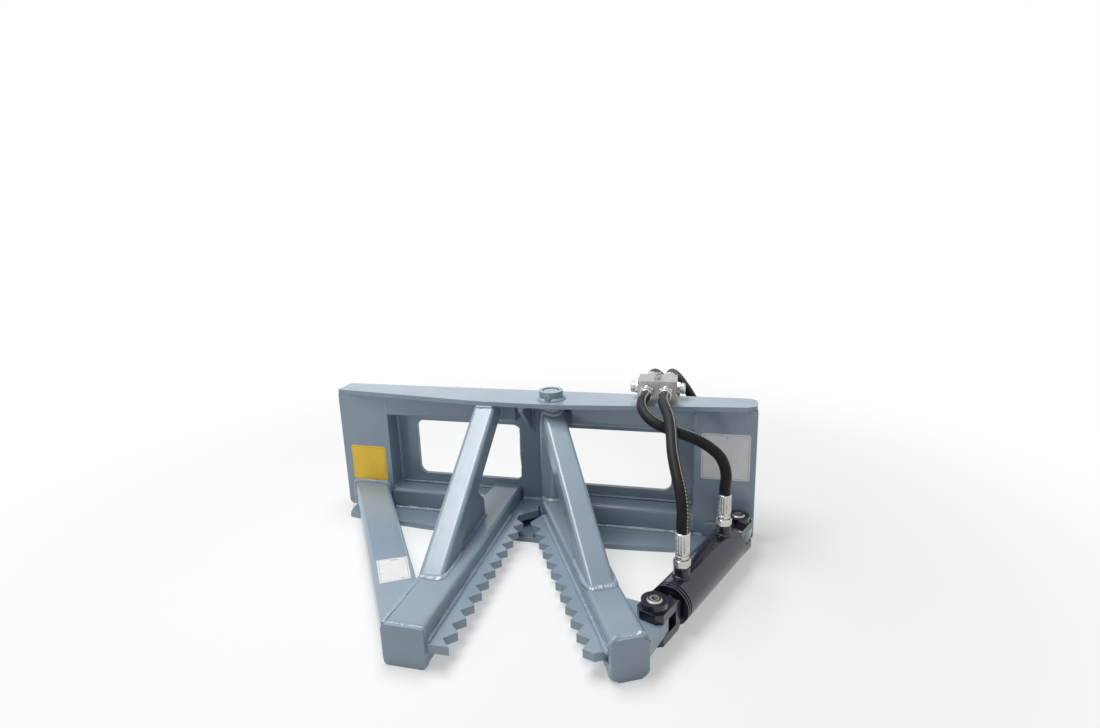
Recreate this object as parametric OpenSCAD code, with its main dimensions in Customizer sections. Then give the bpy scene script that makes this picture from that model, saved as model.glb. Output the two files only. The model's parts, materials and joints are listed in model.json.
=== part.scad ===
// Tree puller for a compact loader: a toothed fixed jaw and a toothed moving jaw on a mount frame,
// closed by one hydraulic cylinder. Lengths are in millimetres.
// X runs to the right, Y away from the jaws towards the loader, Z up from the floor.
// The middle of the frame's front face is at X = 0, Y = 0.

/* [Mount frame] */
// Width over the two side boxes
frame_w = 980; // [960:1:1010]
// Height of the frame, floor to the top of the top plate
frame_h = 313; // [305:1:330]
// Width of each side box
box_w = 127; // [122:1:130]
// Depth of each side box, front to back
box_d = 50.8; // [50.8:0.1:56]
// Radius of the rounded outer bottom corners of the side boxes
box_corner_r = 12; // [6:1:20]
// Side of the square tube used for the cross tubes and the braces
small_tube = 50.8; // [46:0.1:50.8]
// Wall of the side boxes and of every square tube
tube_wall = 6.35; // [4:0.05:8]
// Outer corner radius of the square tubes
tube_corner_r = 9; // [7:0.5:11]
// Thickness of the back plate
back_plate_t = 10; // [8:0.5:13]
// Thickness of the top plate
top_plate_t = 10; // [8:0.5:13]
// How far the top plate's front edge runs forward at the pivot
top_plate_reach = 45; // [42:1:52]
// How far the top plate's right front corner runs forward
top_plate_right_reach = 2; // [0:1:6]
// Radius of the top plate's right-hand corners
top_plate_corner_r = 20; // [10:1:25]
// Thickness of the bottom plate
bottom_plate_t = 12; // [10:0.5:14]
// Width of the bottom plate at the side boxes
bottom_plate_w = 938; // [920:1:950]
// How far the bottom plate runs forward in the middle
bottom_plate_reach = 82; // [76:1:90]
// How far the bottom plate's arc bows forward of its ends
bottom_plate_bow = 34; // [28:1:40]
// How far the bottom plate runs back of the frame's front face
bottom_plate_back = 116; // [110:1:122]
// Length of the hook lip, down its slope
lip_l = 50; // [42:1:56]
// Thickness of the hook lip
lip_t = 10; // [8:0.5:12]
// Width of the hook lip
lip_w = 940; // [860:2:950]

/* [Windows and lock slots] */
// Lower edge of the windows
window_z0 = 88; // [82:1:96]
// Height of the windows
window_h = 140; // [130:1:150]
// Distance of the windows' outer edges from the middle
window_outer = 312; // [300:1:320]
// Distance of the left window's inner edge from the middle
window_left_inner = 42; // [40:1:60]
// Distance of the right window's inner edge from the middle
window_right_inner = 20; // [18:1:40]
// Corner radius of the windows
window_r = 20; // [10:1:30]
// Distance between the two lock slots
slot_spacing = 700; // [660:2:740]
// Length of each lock slot
slot_l = 60; // [50:1:70]
// Width of each lock slot
slot_w = 22; // [18:1:26]
// Distance of the lock slots behind the frame's front face
slot_y = 89; // [86:1:92]

/* [Centre post] */
// Left edge of the centre post
post_x = -40; // [-44:1:-38]
// Width of the centre post
post_w = 57; // [52:1:58]
// Thickness of the centre post
post_t = 12; // [10:0.5:12.5]
// Thickness of the gusset between the post and the top plate
gusset_t = 9; // [6:1:12]
// Height of the gusset
gusset_h = 85; // [70:1:100]

/* [Pivot] */
// Distance of the pivot right of the middle
pivot_x = 48; // [46:1:50]
// Distance of the pivot behind the frame's front face
pivot_y = 2; // [0:1:4]
// Diameter of the pivot pin
pin_d = 38; // [34:0.5:40]
// Outer diameter of the pivot tube
pivot_tube_d = 57; // [54:0.5:60]
// Inner diameter of the pivot tube
pivot_tube_bore = 48; // [46:0.5:50]
// Length of each bush in the pivot tube
bush_l = 45; // [30:1:60]
// Thickness of each thrust washer
thrust_t = 2.7; // [2:0.1:3.5]
// Outer diameter of the collar on the top plate
collar_d = 54; // [50:1:58]
// Height of the collar on the top plate
collar_h = 20; // [17:1:26]
// Diameter of the bolt across the collar
cross_bolt_d = 8; // [6:1:10]
// How far the jaw is open in the pose that is drawn, in degrees
open_angle = 27; // [24:0.5:28]

/* [Jaws] */
// Side of the square tube of the fixed jaw, and height of the moving jaw's tube
jaw_tube = 76.2; // [74:0.1:78]
// Width of the moving jaw's tube
moving_tube_w = 63.5; // [60:0.1:66]
// Distance of the fixed jaw's inner tube left of the middle
inner_tube_x = 81; // [80:1:83]
// How far the fixed jaw runs forward of the frame
fixed_jaw_reach = 508; // [506:1:520]
// Distance of the outer tube's foot left of the middle
outer_tube_x = 423.6; // [420:0.1:426]
// Angle of the outer tube from straight forward
outer_tube_angle = 34.74; // [34:0.01:35.2]
// Length of the moving jaw from the pivot to the front of its cap
moving_jaw_l = 520; // [516:1:530]
// Thickness of the caps on the jaw ends
cap_t = 8; // [6:0.5:10]
// Distance of the fixed jaw's brace left of the middle
brace_x = 96; // [94:1:98]
// Distance of the front of the fixed brace's foot from the frame
fixed_brace_foot = 368; // [360:1:376]
// Slope of the fixed jaw's brace
fixed_brace_slope = 34.5; // [34:0.1:35.5]
// Distance of the front of the moving brace's foot from the pivot
moving_brace_foot = 379; // [370:1:390]
// Slope of the moving jaw's brace
moving_brace_slope = 30.6; // [29.5:0.1:31]
// Thickness of the web under the fixed brace
web_t = 8; // [6:0.5:10]
// How far the relief under the moving jaw's tube runs from the pivot
relief_l = 118; // [114:1:126]

/* [Blades] */
// Thickness of the toothed blades
blade_t = 16; // [12:0.5:18]
// Height of the blades' underside above the floor
blade_z = 30; // [28:0.5:32]
// Distance from one tooth to the next
tooth_pitch = 38; // [37.8:0.1:38.4]
// Depth of the teeth
tooth_depth = 19; // [16:0.5:19]
// Number of teeth on each blade
tooth_count = 12; // [10:1:12]
// Distance of the moving blade's first tooth from the pivot
first_tooth = 67; // [66:0.5:68]
// Distance of the moving blade's tips from the line through the pivot
tip_offset = 68; // [67:0.5:70]
// Gap left between the closed rows of teeth
tooth_gap = 2; // [1.5:0.1:3]
// Radius of the round hub of the moving blade
hub_r = 35; // [34:0.5:36]
// Gap between the hub and the hook of the fixed blade
hub_gap = 3; // [2:0.5:4]

/* [Cylinder] */
// Height of the cylinder's axis
cylinder_z = 47; // [46:0.5:50]
// Distance of the base pin right of the middle
base_pin_x = 456; // [452:1:458]
// Distance of the base pin in front of the frame
base_pin_y = 42; // [40:1:46]
// Distance of the rod pin from the pivot, along the moving jaw
rod_pin_s = 452; // [448:1:456]
// Distance of the rod pin from the moving jaw's centre line
rod_pin_n = 66; // [66:0.5:70]
// Outer diameter of the barrel
barrel_d = 73; // [70:0.5:76]
// Bore of the barrel
barrel_bore = 60; // [56:0.5:62]
// Diameter of the piston rod
rod_d = 35; // [30:0.5:38]
// Width of the gland ring at the rod end
gland_l = 16; // [12:0.5:18]
// Length of bare rod that shows with the jaw open
rod_bare = 8; // [6:0.5:12]
// Diameter of the clevis pins
clevis_pin_d = 28; // [25:0.5:30]
// Thickness of the lugs
lug_t = 25; // [22:0.5:25.5]
// Thickness of each clevis ear
ear_t = 16; // [14:0.5:17]
// Gap between the ears of a clevis
ear_gap = 27; // [26:0.5:28]
// Width of a clevis
clevis_w = 50; // [46:0.5:52]
// Reach of a clevis from its pin to its closed end
clevis_l = 46; // [44:0.5:50]
// Radius of the rounded end of the lugs
lug_r = 24; // [23:0.5:25]
// Distance of the base port from the base pin
base_port_x = 76; // [74:0.5:78]
// Distance of the rod port from the gland ring
rod_port_back = 30; // [28:0.5:32]

/* [Valve and hoses] */
// Distance of the valve block's left side right of the middle
valve_x = 240; // [236:1:244]
// Width of the valve block
valve_w = 82; // [82:1:88]
// Distance of the valve block's front behind the frame's front face
valve_y = 5; // [4:1:6]
// Depth of the valve block, front to back
valve_d = 60; // [58:1:64]
// Height of the valve block
valve_h = 47; // [44:1:52]
// Distance of the left ports from the block's left side
port_left = 21; // [20:1:23]
// Distance between the left and right ports
port_pitch = 40; // [39:1:42]
// Outer diameter of every hose
hose_d = 22; // [20:0.5:22]

/* [Hidden] */
// Gap at welded round joints
weld_gap = 0.1;
// Radial clearance of running fits
run_gap = 0.05;
// Clearance of the moving jaw and its washers above and below
lift_gap = 0.3;
// Extra radius of the open rod pivot
rod_hole_gap = 3;

$fn = 64;

half_w = frame_w / 2;
box_x = half_w - box_w;
deck = frame_h - top_plate_t;
floor_top = bottom_plate_t;
plate_setback = 3;
rear_y = box_d + back_plate_t;
cross_y = box_d - small_tube;
blade_top = blade_z + blade_t;
post_y = box_d - post_t;
inner_left = -inner_tube_x - jaw_tube / 2;
inner_right = -inner_tube_x + jaw_tube / 2;
pivot_room = 47;
cross_right_x = pivot_x + pivot_room;
pivot_r = pivot_tube_d / 2;
valley_offset = tip_offset - tooth_depth;
fixed_tip_x = pivot_x - valley_offset - tooth_gap;
fixed_valley_x = fixed_tip_x - tooth_depth;
fixed_tooth_y = pivot_y - first_tooth - tooth_pitch / 2;
front_inset = 6;
last_tooth_s = first_tooth + (tooth_count - 1) * tooth_pitch;
tube_face = moving_tube_w / 2;

rod_pin = [
    pivot_x + rod_pin_n * cos(open_angle) + rod_pin_s * sin(open_angle),
    pivot_y + rod_pin_n * sin(open_angle) - rod_pin_s * cos(open_angle)
];
base_pin_at = [base_pin_x, -base_pin_y];
pin_to_pin = norm(rod_pin - base_pin_at);
cylinder_heading = atan2(rod_pin[1] - base_pin_at[1], rod_pin[0] - base_pin_at[0]);
clevis_h = 2 * ear_t + ear_gap;
boss_h = 13;
boss_d = 45;
barrel_end = pin_to_pin - clevis_l - rod_bare - gland_l;
barrel_floor = 12;
piston_x = base_port_x + 8;
piston_l = 18;
sleeve_l = 10;
port_r = 5;
port_boss_top = 54;
port_boss_r = 15;
fitting_nut_h = 25;
ferrule_h = 41;
ferrule_r = 13.5;
nut_across = 27;
valve_port_up = 25;
valve_port_z = frame_h + valve_port_up;
front_fitting_l = 34;
rear_fitting_l = 60;
valve_bolt_r = 4;
coupler_l = 75;
coupler_r = 17;
valve_bore_r = 8;
hose_z = 17;
hose_a_y = 134;
hose_b_y = 158;
wrap_x0 = -235;
wrap_l = 440;

paint = [0.58, 0.66, 0.72];
black = [0.09, 0.09, 0.10];
silver = [0.75, 0.76, 0.77];
steel = [0.62, 0.63, 0.64];
raw_alloy = [0.78, 0.77, 0.75];
rubber = [0.13, 0.13, 0.13];
bronze = [0.70, 0.55, 0.30];

// Routes of the hoses, chosen by hand
hose_base_route = [
    [261, -29, 338], [261, -43, 338], [258, -60, 336], [260, -82, 328], [272, -103, 317],
    [289, -115, 308], [310, -119, 300], [331, -119, 293], [353, -116, 285], [376, -112, 274],
    [397, -110, 260], [414, -110, 244], [424, -111, 223], [427, -112, 201],
    [425.5, -111.5, 183], [425.5, -111.5, 167]
];
hose_rod_route = [
    [301, -29, 338], [301, -43, 338], [301, -68, 338], [306, -93, 336], [313, -117, 330],
    [319, -140, 322], [323, -163, 312], [326, -185, 299], [329, -206, 285], [334, -225, 270],
    [340, -243, 254], [346, -258, 238], [350, -269, 220], [352, -276, 202], [352, -279, 184],
    [352, -279, 167]
];
supply_a_route = [
    [261, 125, 338], [261, 150, 338], [264, 180, 332], [273, 210, 316], [289, 236, 288],
    [310, 249, 251], [332, 245, 212], [349, 233, 174], [360, 218, 135], [362, 201, 98],
    [351, 181, 62], [327, 162, 35], [294, 146, 21], [250, 136, 17], [205, 134, 17],
    [145, 134, 17], [80, 134, 17], [15, 134, 17], [-50, 134, 17], [-115, 134, 17],
    [-180, 134, 17], [-240, 134, 17], [-295, 135, 17], [-345, 138, 18], [-380, 138, 18]
];
supply_b_route = [
    [301, 125, 338], [301, 150, 338], [304, 181, 333], [313, 213, 317], [328, 243, 288],
    [348, 260, 251], [367, 261, 212], [381, 251, 174], [389, 238, 135], [389, 226, 98],
    [378, 210, 62], [354, 194, 36], [319, 179, 21], [268, 165, 17], [205, 158, 17],
    [145, 158, 17], [80, 158, 17], [15, 158, 17], [-50, 158, 17], [-115, 158, 17],
    [-180, 158, 17], [-240, 158, 17], [-284, 162, 17], [-326, 174, 17],
    [-360, 178, 18], [-380, 178, 18]
];

// Shapes that several pieces share

module rounded_rect(w, h, r) {
    square([w - 2 * r, h], center = true);
    square([w, h - 2 * r], center = true);
    for (sx = [-1, 1], sy = [-1, 1])
        translate([sx * (w / 2 - r), sy * (h / 2 - r)]) circle(r);
}

// A square tube that runs forward from Y = 0, with its underside at Z = 0
module square_tube(w, h, length) {
    translate([0, 0, h / 2])
        rotate([90, 0, 0])
            linear_extrude(length)
                difference() {
                    rounded_rect(w, h, tube_corner_r);
                    rounded_rect(w - 2 * tube_wall, h - 2 * tube_wall, tube_corner_r - tube_wall);
                }
}

// A plate standing in the YZ plane, from an outline of [y, z] points
module side_plate(x, t, outline) {
    translate([x, 0, 0]) rotate([90, 0, 90]) linear_extrude(t) polygon(outline);
}

// The outline of the bottom plate, without its holes
module bottom_outline() {
    cut = 8;
    side = bottom_plate_w / 2;
    chord = side - cut;
    arc_r = (chord * chord + bottom_plate_bow * bottom_plate_bow) / (2 * bottom_plate_bow);
    chord_y = bottom_plate_bow - bottom_plate_reach;
    intersection() {
        polygon([
            [-side, bottom_plate_back], [-side, chord_y + 3 * cut], [4 * cut - side, chord_y - 9 * cut],
            [side - 4 * cut, chord_y - 9 * cut], [side, chord_y + 3 * cut], [side, bottom_plate_back]
        ]);
        translate([0, arc_r - bottom_plate_reach]) circle(arc_r, $fn = 360);
    }
}

// The space that the bottom plate takes, for the pieces that stand on it
module bottom_blank() {
    translate([0, 0, -1]) linear_extrude(floor_top + 1) bottom_outline();
}

module in_jaw() {
    translate([pivot_x, pivot_y, 0]) rotate([0, 0, open_angle]) children();
}

module on_cylinder() {
    translate([base_pin_x, -base_pin_y, cylinder_z]) rotate([0, 0, cylinder_heading]) children();
}

module along_x(x, r, length) {
    translate([x, 0, 0]) rotate([0, 90, 0]) cylinder(r = r, h = length);
}

// The angle at which a line from p touches a circle
function touch(p, c, r, side) =
    atan2(p[1] - c[1], p[0] - c[0]) + side * acos(r / norm(p - c));

// A lug with a round end at c, welded along the line from a to b
module lug_outline(a, b, c, r) {
    steps = 24;
    first = touch(a, c, r, -1);
    sweep = ((first - touch(b, c, r, 1)) % 360 + 360) % 360;
    polygon([
        a,
        for (i = [0:steps])
            c + r * [cos(first - sweep * i / steps), sin(first - sweep * i / steps)],
        b
    ]);
}

// A flat bar bent to a U round a lug: the pin is at the origin, the closed end towards +X
module clevis() {
    end_cut = 10;
    bend_r = 12;
    tail = -lug_r;
    difference() {
        union() {
            intersection() {
                translate([0, 0, -clevis_h / 2])
                    linear_extrude(clevis_h)
                        polygon([
                            [tail + end_cut, -clevis_w / 2], [clevis_l, -clevis_w / 2],
                            [clevis_l, clevis_w / 2], [tail + end_cut, clevis_w / 2],
                            [tail, clevis_w / 2 - end_cut], [tail, end_cut - clevis_w / 2]
                        ]);
                translate([0, clevis_w, 0])
                    rotate([90, 0, 0])
                        linear_extrude(2 * clevis_w) {
                            translate([tail - 1, -clevis_h / 2])
                                square([clevis_l - bend_r - tail + 1, clevis_h]);
                            translate([0, bend_r - clevis_h / 2])
                                square([clevis_l, clevis_h - 2 * bend_r]);
                            for (sz = [-1, 1])
                                translate([clevis_l - bend_r, sz * (clevis_h / 2 - bend_r)])
                                    circle(bend_r);
                        }
            }
            translate([0, 0, clevis_h / 2]) cylinder(d = boss_d, h = boss_h);
        }
        translate([2 * tail, -clevis_w, -ear_gap / 2])
            cube([clevis_l - ear_t - 2 * tail, 2 * clevis_w, ear_gap]);
        translate([0, 0, -clevis_h]) cylinder(r = clevis_pin_d / 2 + run_gap, h = 2 * clevis_h);
        translate([0, boss_d, clevis_h / 2 + boss_h / 2])
            rotate([90, 0, 0]) cylinder(r = 3 + run_gap, h = 2 * boss_d, $fn = 32);
    }
}

// The pin of a clevis, with chamfered ends, a tapped centre and the cross hole for its roll pin
module clevis_pin() {
    r = clevis_pin_d / 2;
    low = -clevis_h / 2 - 4;
    high = clevis_h / 2 + boss_h + 2;
    difference() {
        rotate_extrude()
            polygon([
                [0, low], [r - 2, low], [r, low + 2], [r, high - 3], [r - 3, high],
                [5, high], [5, high - 12], [0, high - 12]
            ]);
        translate([0, boss_d, clevis_h / 2 + boss_h / 2])
            rotate([90, 0, 0]) cylinder(r = 3 + run_gap, h = 2 * boss_d, $fn = 32);
    }
}

module roll_pin() {
    translate([0, boss_d / 2, clevis_h / 2 + boss_h / 2])
        rotate([90, 0, 0])
            difference() {
                cylinder(r = 3, h = boss_d, $fn = 32);
                translate([0, 0, -1]) cylinder(r = 1.8, h = boss_d + 2, $fn = 32);
            }
}

// A six-sided nut standing on Z = 0
module hex_nut(across, h) {
    cylinder(r = across / sqrt(3), h = h, $fn = 6);
}

// The crimped end of a hose standing on Z = 0: nut, neck and ringed ferrule
module crimped_end(nut_h, length) {
    ring = (length - nut_h - 3) / 4;
    difference() {
        union() {
            hex_nut(nut_across, nut_h);
            translate([0, 0, nut_h]) cylinder(r = ferrule_r - 3, h = 3);
            translate([0, 0, nut_h + 3]) cylinder(r = ferrule_r - 1, h = length - nut_h - 3);
            for (i = [0:3])
                translate([0, 0, nut_h + 3 + i * ring]) cylinder(r = ferrule_r, h = ring * 0.7);
        }
        translate([0, 0, -1]) cylinder(r = 5, h = length + 2);
    }
}

// A round tube swept through the points of a route
function unit(v) = v / norm(v);
function heading(route, i) =
    unit(route[min(i + 1, len(route) - 1)] - route[max(i - 1, 0)]);
function carried(route, start, i) =
    let (
        t = heading(route, i),
        v = i == 0 ? start : carried(route, start, i - 1)
    )
    unit(v - t * (v * t));

module swept_hose(route, r, sides, start) {
    n = len(route);
    rings = [
        for (i = [0:n - 1])
            let (t = heading(route, i), u = carried(route, start, i), v = cross(t, u))
                for (k = [0:sides - 1])
                    route[i] + r * (cos(360 * k / sides) * u + sin(360 * k / sides) * v)
    ];
    walls = [
        for (i = [0:n - 2], k = [0:sides - 1])
            let (a = i * sides + k, b = i * sides + (k + 1) % sides)
                each [[a, b, b + sides], [a, b + sides, a + sides]]
    ];
    first = [for (k = [0:sides - 1]) sides - 1 - k];
    last = [for (k = [0:sides - 1]) (n - 1) * sides + k];
    faces = concat([first], walls, [last]);
    polyhedron(points = rings, faces = [for (f = faces) [for (k = [len(f) - 1:-1:0]) f[k]]]);
}

// The mount frame

module top_plate() {
    turn = 380;
    nose = 12;
    r = top_plate_corner_r;
    color(paint)
        translate([0, 0, deck])
            difference() {
                linear_extrude(top_plate_t)
                    difference() {
                        union() {
                            polygon([
                                [-half_w, rear_y], [-half_w, plate_setback],
                                [turn - half_w, plate_setback - top_plate_reach],
                                [pivot_x + nose, -top_plate_reach],
                                [half_w - r, -top_plate_right_reach - 2],
                                [half_w - r, rear_y]
                            ]);
                            translate([half_w - r - 1, r - top_plate_right_reach])
                                square([r + 1, rear_y - 2 * r + top_plate_right_reach]);
                            translate([half_w - r, rear_y - r]) circle(r);
                            translate([half_w - r, r - top_plate_right_reach]) circle(r);
                        }
                        translate([pivot_x, pivot_y]) circle(pin_d / 2 + run_gap);
                    }
                valve_bolt_places() translate([0, 0, -1])
                    cylinder(r = valve_bolt_r + weld_gap, h = top_plate_t + 2);
            }
}

module bottom_plate() {
    color(paint)
        linear_extrude(floor_top)
            difference() {
                bottom_outline();
                translate([pivot_x, pivot_y]) circle(pin_d / 2 + run_gap);
                for (sx = [-1, 1])
                    translate([sx * slot_spacing / 2, slot_y]) {
                        square([slot_l - slot_w, slot_w], center = true);
                        for (se = [-1, 1]) translate([se * (slot_l - slot_w) / 2, 0]) circle(d = slot_w);
                    }
            }
}

// Section of the left side box seen from the front, with its outer bottom corner rounded
module box_section(w, h, r) {
    translate([r, 0]) square([w - r, h]);
    translate([0, r]) square([w, h - r]);
    translate([r, r]) circle(r);
}

// The left side box, closed in front and open towards the back plate
module side_box() {
    h = deck - floor_top;
    translate([-half_w, box_d, floor_top])
        rotate([90, 0, 0])
            difference() {
                linear_extrude(box_d) box_section(box_w, h, box_corner_r);
                translate([tube_wall, tube_wall, -1])
                    linear_extrude(box_d - tube_wall + 1)
                        box_section(
                            box_w - 2 * tube_wall, h - 2 * tube_wall,
                            max(box_corner_r - tube_wall, 2)
                        );
            }
}

module left_side_box() {
    color(paint) side_box();
}

module right_side_box() {
    color(paint) mirror([1, 0, 0]) side_box();
}

module back_plate() {
    h = deck - floor_top;
    window_z = window_z0 + window_h / 2 - floor_top;
    left_w = window_outer - window_left_inner;
    right_w = window_outer - window_right_inner;
    color(paint)
        translate([0, rear_y, floor_top])
            rotate([90, 0, 0])
                linear_extrude(back_plate_t)
                    difference() {
                        union() {
                            translate([-half_w, 0]) box_section(half_w, h, box_corner_r);
                            mirror([1, 0]) translate([-half_w, 0]) box_section(half_w, h, box_corner_r);
                        }
                        translate([-window_outer + left_w / 2, window_z])
                            rounded_rect(left_w, window_h, window_r);
                        translate([window_outer - right_w / 2, window_z])
                            rounded_rect(right_w, window_h, window_r);
                    }
}

module hook_lip() {
    drop = lip_l / sqrt(2);
    skin = lip_t / sqrt(2);
    color(paint)
        side_plate(-lip_w / 2, lip_w, [
            [rear_y, frame_h], [rear_y + drop, frame_h - drop],
            [rear_y + drop - skin, frame_h - drop - skin], [rear_y, frame_h - 2 * skin]
        ]);
}

// A cross tube from x0 to x1, with its underside at z
module cross_tube(x0, x1, z) {
    color(paint)
        translate([x0, cross_y + small_tube / 2, z])
            rotate([0, 0, 90]) square_tube(small_tube, small_tube, x1 - x0);
}

module upper_cross_tube_left() {
    cross_tube(-box_x, post_x, deck - small_tube);
}

module upper_cross_tube_right() {
    cross_tube(cross_right_x, box_x, deck - small_tube);
}

module lower_cross_tube_left() {
    cross_tube(-box_x, inner_left, floor_top);
}

module lower_cross_tube_right() {
    cross_tube(cross_right_x, box_x, floor_top);
}

module centre_post() {
    color(paint)
        translate([post_x, post_y, blade_top]) cube([post_w, post_t, deck - blade_top]);
}

module post_gusset() {
    front = plate_setback - top_plate_reach;
    tip_h = 10;
    color(paint)
        side_plate(post_x + (post_w - gusset_t) / 2, gusset_t, [
            [post_y, deck], [front, deck], [front, deck - tip_h], [post_y, deck - gusset_h]
        ]);
}

// The fixed jaw

module fixed_inner_tube() {
    color(paint)
        difference() {
            translate([-inner_tube_x, box_d, 0])
                square_tube(jaw_tube, jaw_tube, box_d + fixed_jaw_reach - cap_t);
            bottom_blank();
        }
}

module fixed_outer_tube() {
    color(paint)
        difference() {
            translate([-outer_tube_x, 0, 0])
                rotate([0, 0, outer_tube_angle])
                    translate([0, jaw_tube, 0])
                        square_tube(
                            jaw_tube, jaw_tube, fixed_jaw_reach / cos(outer_tube_angle) + 2 * jaw_tube
                        );
            translate([-frame_w, 0, -1]) cube([2 * frame_w, frame_w, 2 * jaw_tube]);
            translate([inner_left, -frame_w, -1]) cube([frame_w, 2 * frame_w, 2 * jaw_tube]);
            bottom_blank();
        }
}

module fixed_jaw_cap() {
    color(paint)
        translate([-inner_tube_x, cap_t - fixed_jaw_reach, jaw_tube / 2])
            rotate([90, 0, 0]) linear_extrude(cap_t) rounded_rect(jaw_tube, jaw_tube, tube_corner_r);
}

// A brace that rises backwards from the front of its foot at the origin
module sloping_tube(slope, length) {
    rotate([slope, 0, 0])
        translate([0, length, -small_tube]) square_tube(small_tube, small_tube, 2 * length);
}

module fixed_brace() {
    color(paint)
        intersection() {
            translate([-brace_x, -fixed_brace_foot, jaw_tube])
                sloping_tube(fixed_brace_slope, 2 * fixed_brace_foot);
            translate([-brace_x - small_tube, -frame_w, jaw_tube])
                cube([2 * small_tube, frame_w + cross_y, deck - jaw_tube]);
        }
}

module fixed_brace_web() {
    foot = small_tube / sin(fixed_brace_slope) - fixed_brace_foot;
    tail = -116;
    tail_h = 36;
    clip = 44;
    rise = tan(fixed_brace_slope);
    color(paint)
        side_plate(-brace_x + small_tube / 2 - tube_corner_r - web_t, web_t, [
            [foot, jaw_tube], [tail, jaw_tube], [tail, jaw_tube + tail_h],
            [tail - clip, jaw_tube + (tail - clip - foot) * rise]
        ]);
}

module fixed_blade() {
    teeth = [
        for (k = [0:tooth_count - 1])
            each [
                [fixed_tip_x, fixed_tooth_y - k * tooth_pitch],
                if (k < tooth_count - 1)
                    [fixed_valley_x, fixed_tooth_y - (k + 0.5) * tooth_pitch]
            ]
    ];
    last = fixed_tooth_y - (tooth_count - 1) * tooth_pitch;
    front = front_inset - fixed_jaw_reach;
    hook = [post_x + post_w, pivot_y - 15];
    neck_x = fixed_valley_x - 2;
    neck_y = fixed_tooth_y + 2 * tooth_depth - 2;
    root = [
        [inner_right, box_d], [hook[0], box_d], hook,
        [neck_x, neck_y], [neck_x, fixed_tooth_y + tooth_depth - 1]
    ];
    land = [
        if (front < last) [fixed_tip_x, front],
        [inner_right, min(front, last)]
    ];
    color(paint)
        translate([0, 0, blade_z])
            linear_extrude(blade_t)
                difference() {
                    polygon(concat(root, teeth, land));
                    translate([pivot_x, pivot_y]) circle(hub_r + hub_gap);
                    translate([-frame_w, front - frame_w]) square([2 * frame_w, frame_w]);
                }
}

// The pivot's fixed pieces

module cross_bolt_place(z) {
    translate([pivot_x, pivot_y, z]) rotate([90, 0, 0]) children();
}

module pivot_pin() {
    top = frame_h + collar_h - 2;
    color(steel)
        difference() {
            translate([pivot_x, pivot_y, 1])
                rotate_extrude()
                    polygon([
                        [0, 0], [pin_d / 2 - 1.5, 0], [pin_d / 2, 1.5], [pin_d / 2, top - 3],
                        [pin_d / 2 - 2, top - 1], [0, top - 1]
                    ]);
            cross_bolt_place(frame_h + collar_h / 2)
                translate([0, 0, -pin_d]) cylinder(r = cross_bolt_d / 2 + run_gap, h = 2 * pin_d);
        }
}

module pivot_collar() {
    color(paint)
        difference() {
            translate([pivot_x, pivot_y, frame_h]) cylinder(d = collar_d, h = collar_h);
            translate([pivot_x, pivot_y, frame_h - 1])
                cylinder(r = pin_d / 2 + run_gap, h = collar_h + 2);
            cross_bolt_place(frame_h + collar_h / 2)
                translate([0, 0, -collar_d]) cylinder(r = cross_bolt_d / 2 + run_gap, h = 2 * collar_d);
        }
}

module pivot_cross_bolt() {
    color(silver)
        cross_bolt_place(frame_h + collar_h / 2) {
            translate([0, 0, -collar_d / 2 - 10]) cylinder(d = cross_bolt_d, h = collar_d + 10);
            translate([0, 0, collar_d / 2]) hex_nut(13, 5.3);
            translate([0, 0, -collar_d / 2 - 6.5]) hex_nut(13, 6.5);
        }
}

// The moving jaw

module pivot_tube() {
    low = floor_top + lift_gap + thrust_t;
    high = deck - lift_gap - thrust_t;
    color(paint)
        translate([pivot_x, pivot_y, low])
            difference() {
                cylinder(d = pivot_tube_d, h = high - low);
                translate([0, 0, -1]) cylinder(d = pivot_tube_bore, h = high - low + 2);
            }
}

module pivot_bushes() {
    low = floor_top + lift_gap + thrust_t;
    high = deck - lift_gap - thrust_t - bush_l;
    color(bronze)
        for (z = [low, high])
            translate([pivot_x, pivot_y, z])
                difference() {
                    cylinder(r = pivot_tube_bore / 2 - run_gap, h = bush_l);
                    translate([0, 0, -1]) cylinder(r = pin_d / 2 + run_gap, h = bush_l + 2);
                }
}

module thrust_washers() {
    color(bronze)
        for (z = [floor_top + lift_gap, deck - lift_gap - thrust_t])
            translate([pivot_x, pivot_y, z])
                difference() {
                    cylinder(d = pivot_tube_d, h = thrust_t);
                    translate([0, 0, -1]) cylinder(r = pin_d / 2 + run_gap, h = thrust_t + 2);
                }
}

module moving_blade_outline() {
    teeth = [
        for (k = [0:tooth_count - 1])
            each [
                [-tip_offset, -first_tooth - k * tooth_pitch],
                if (k < tooth_count - 1)
                    [-valley_offset, -first_tooth - (k + 0.5) * tooth_pitch]
            ]
    ];
    nose = tooth_depth - 4;
    heel = [28, 19.5];
    shoulder = 14.5;
    root = [[0, 0], -heel, [-tip_offset, shoulder - first_tooth]];
    tail = [
        [nose - tip_offset, -last_tooth_s - nose], [-tube_face, -last_tooth_s - nose],
        [-tube_face, -hub_r], [0, -hub_r]
    ];
    difference() {
        union() {
            circle(hub_r);
            polygon(concat(root, teeth, tail));
        }
        circle(pivot_r + weld_gap);
    }
}

module moving_blade() {
    color(paint)
        in_jaw() translate([0, 0, blade_z]) linear_extrude(blade_t) moving_blade_outline();
}

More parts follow.
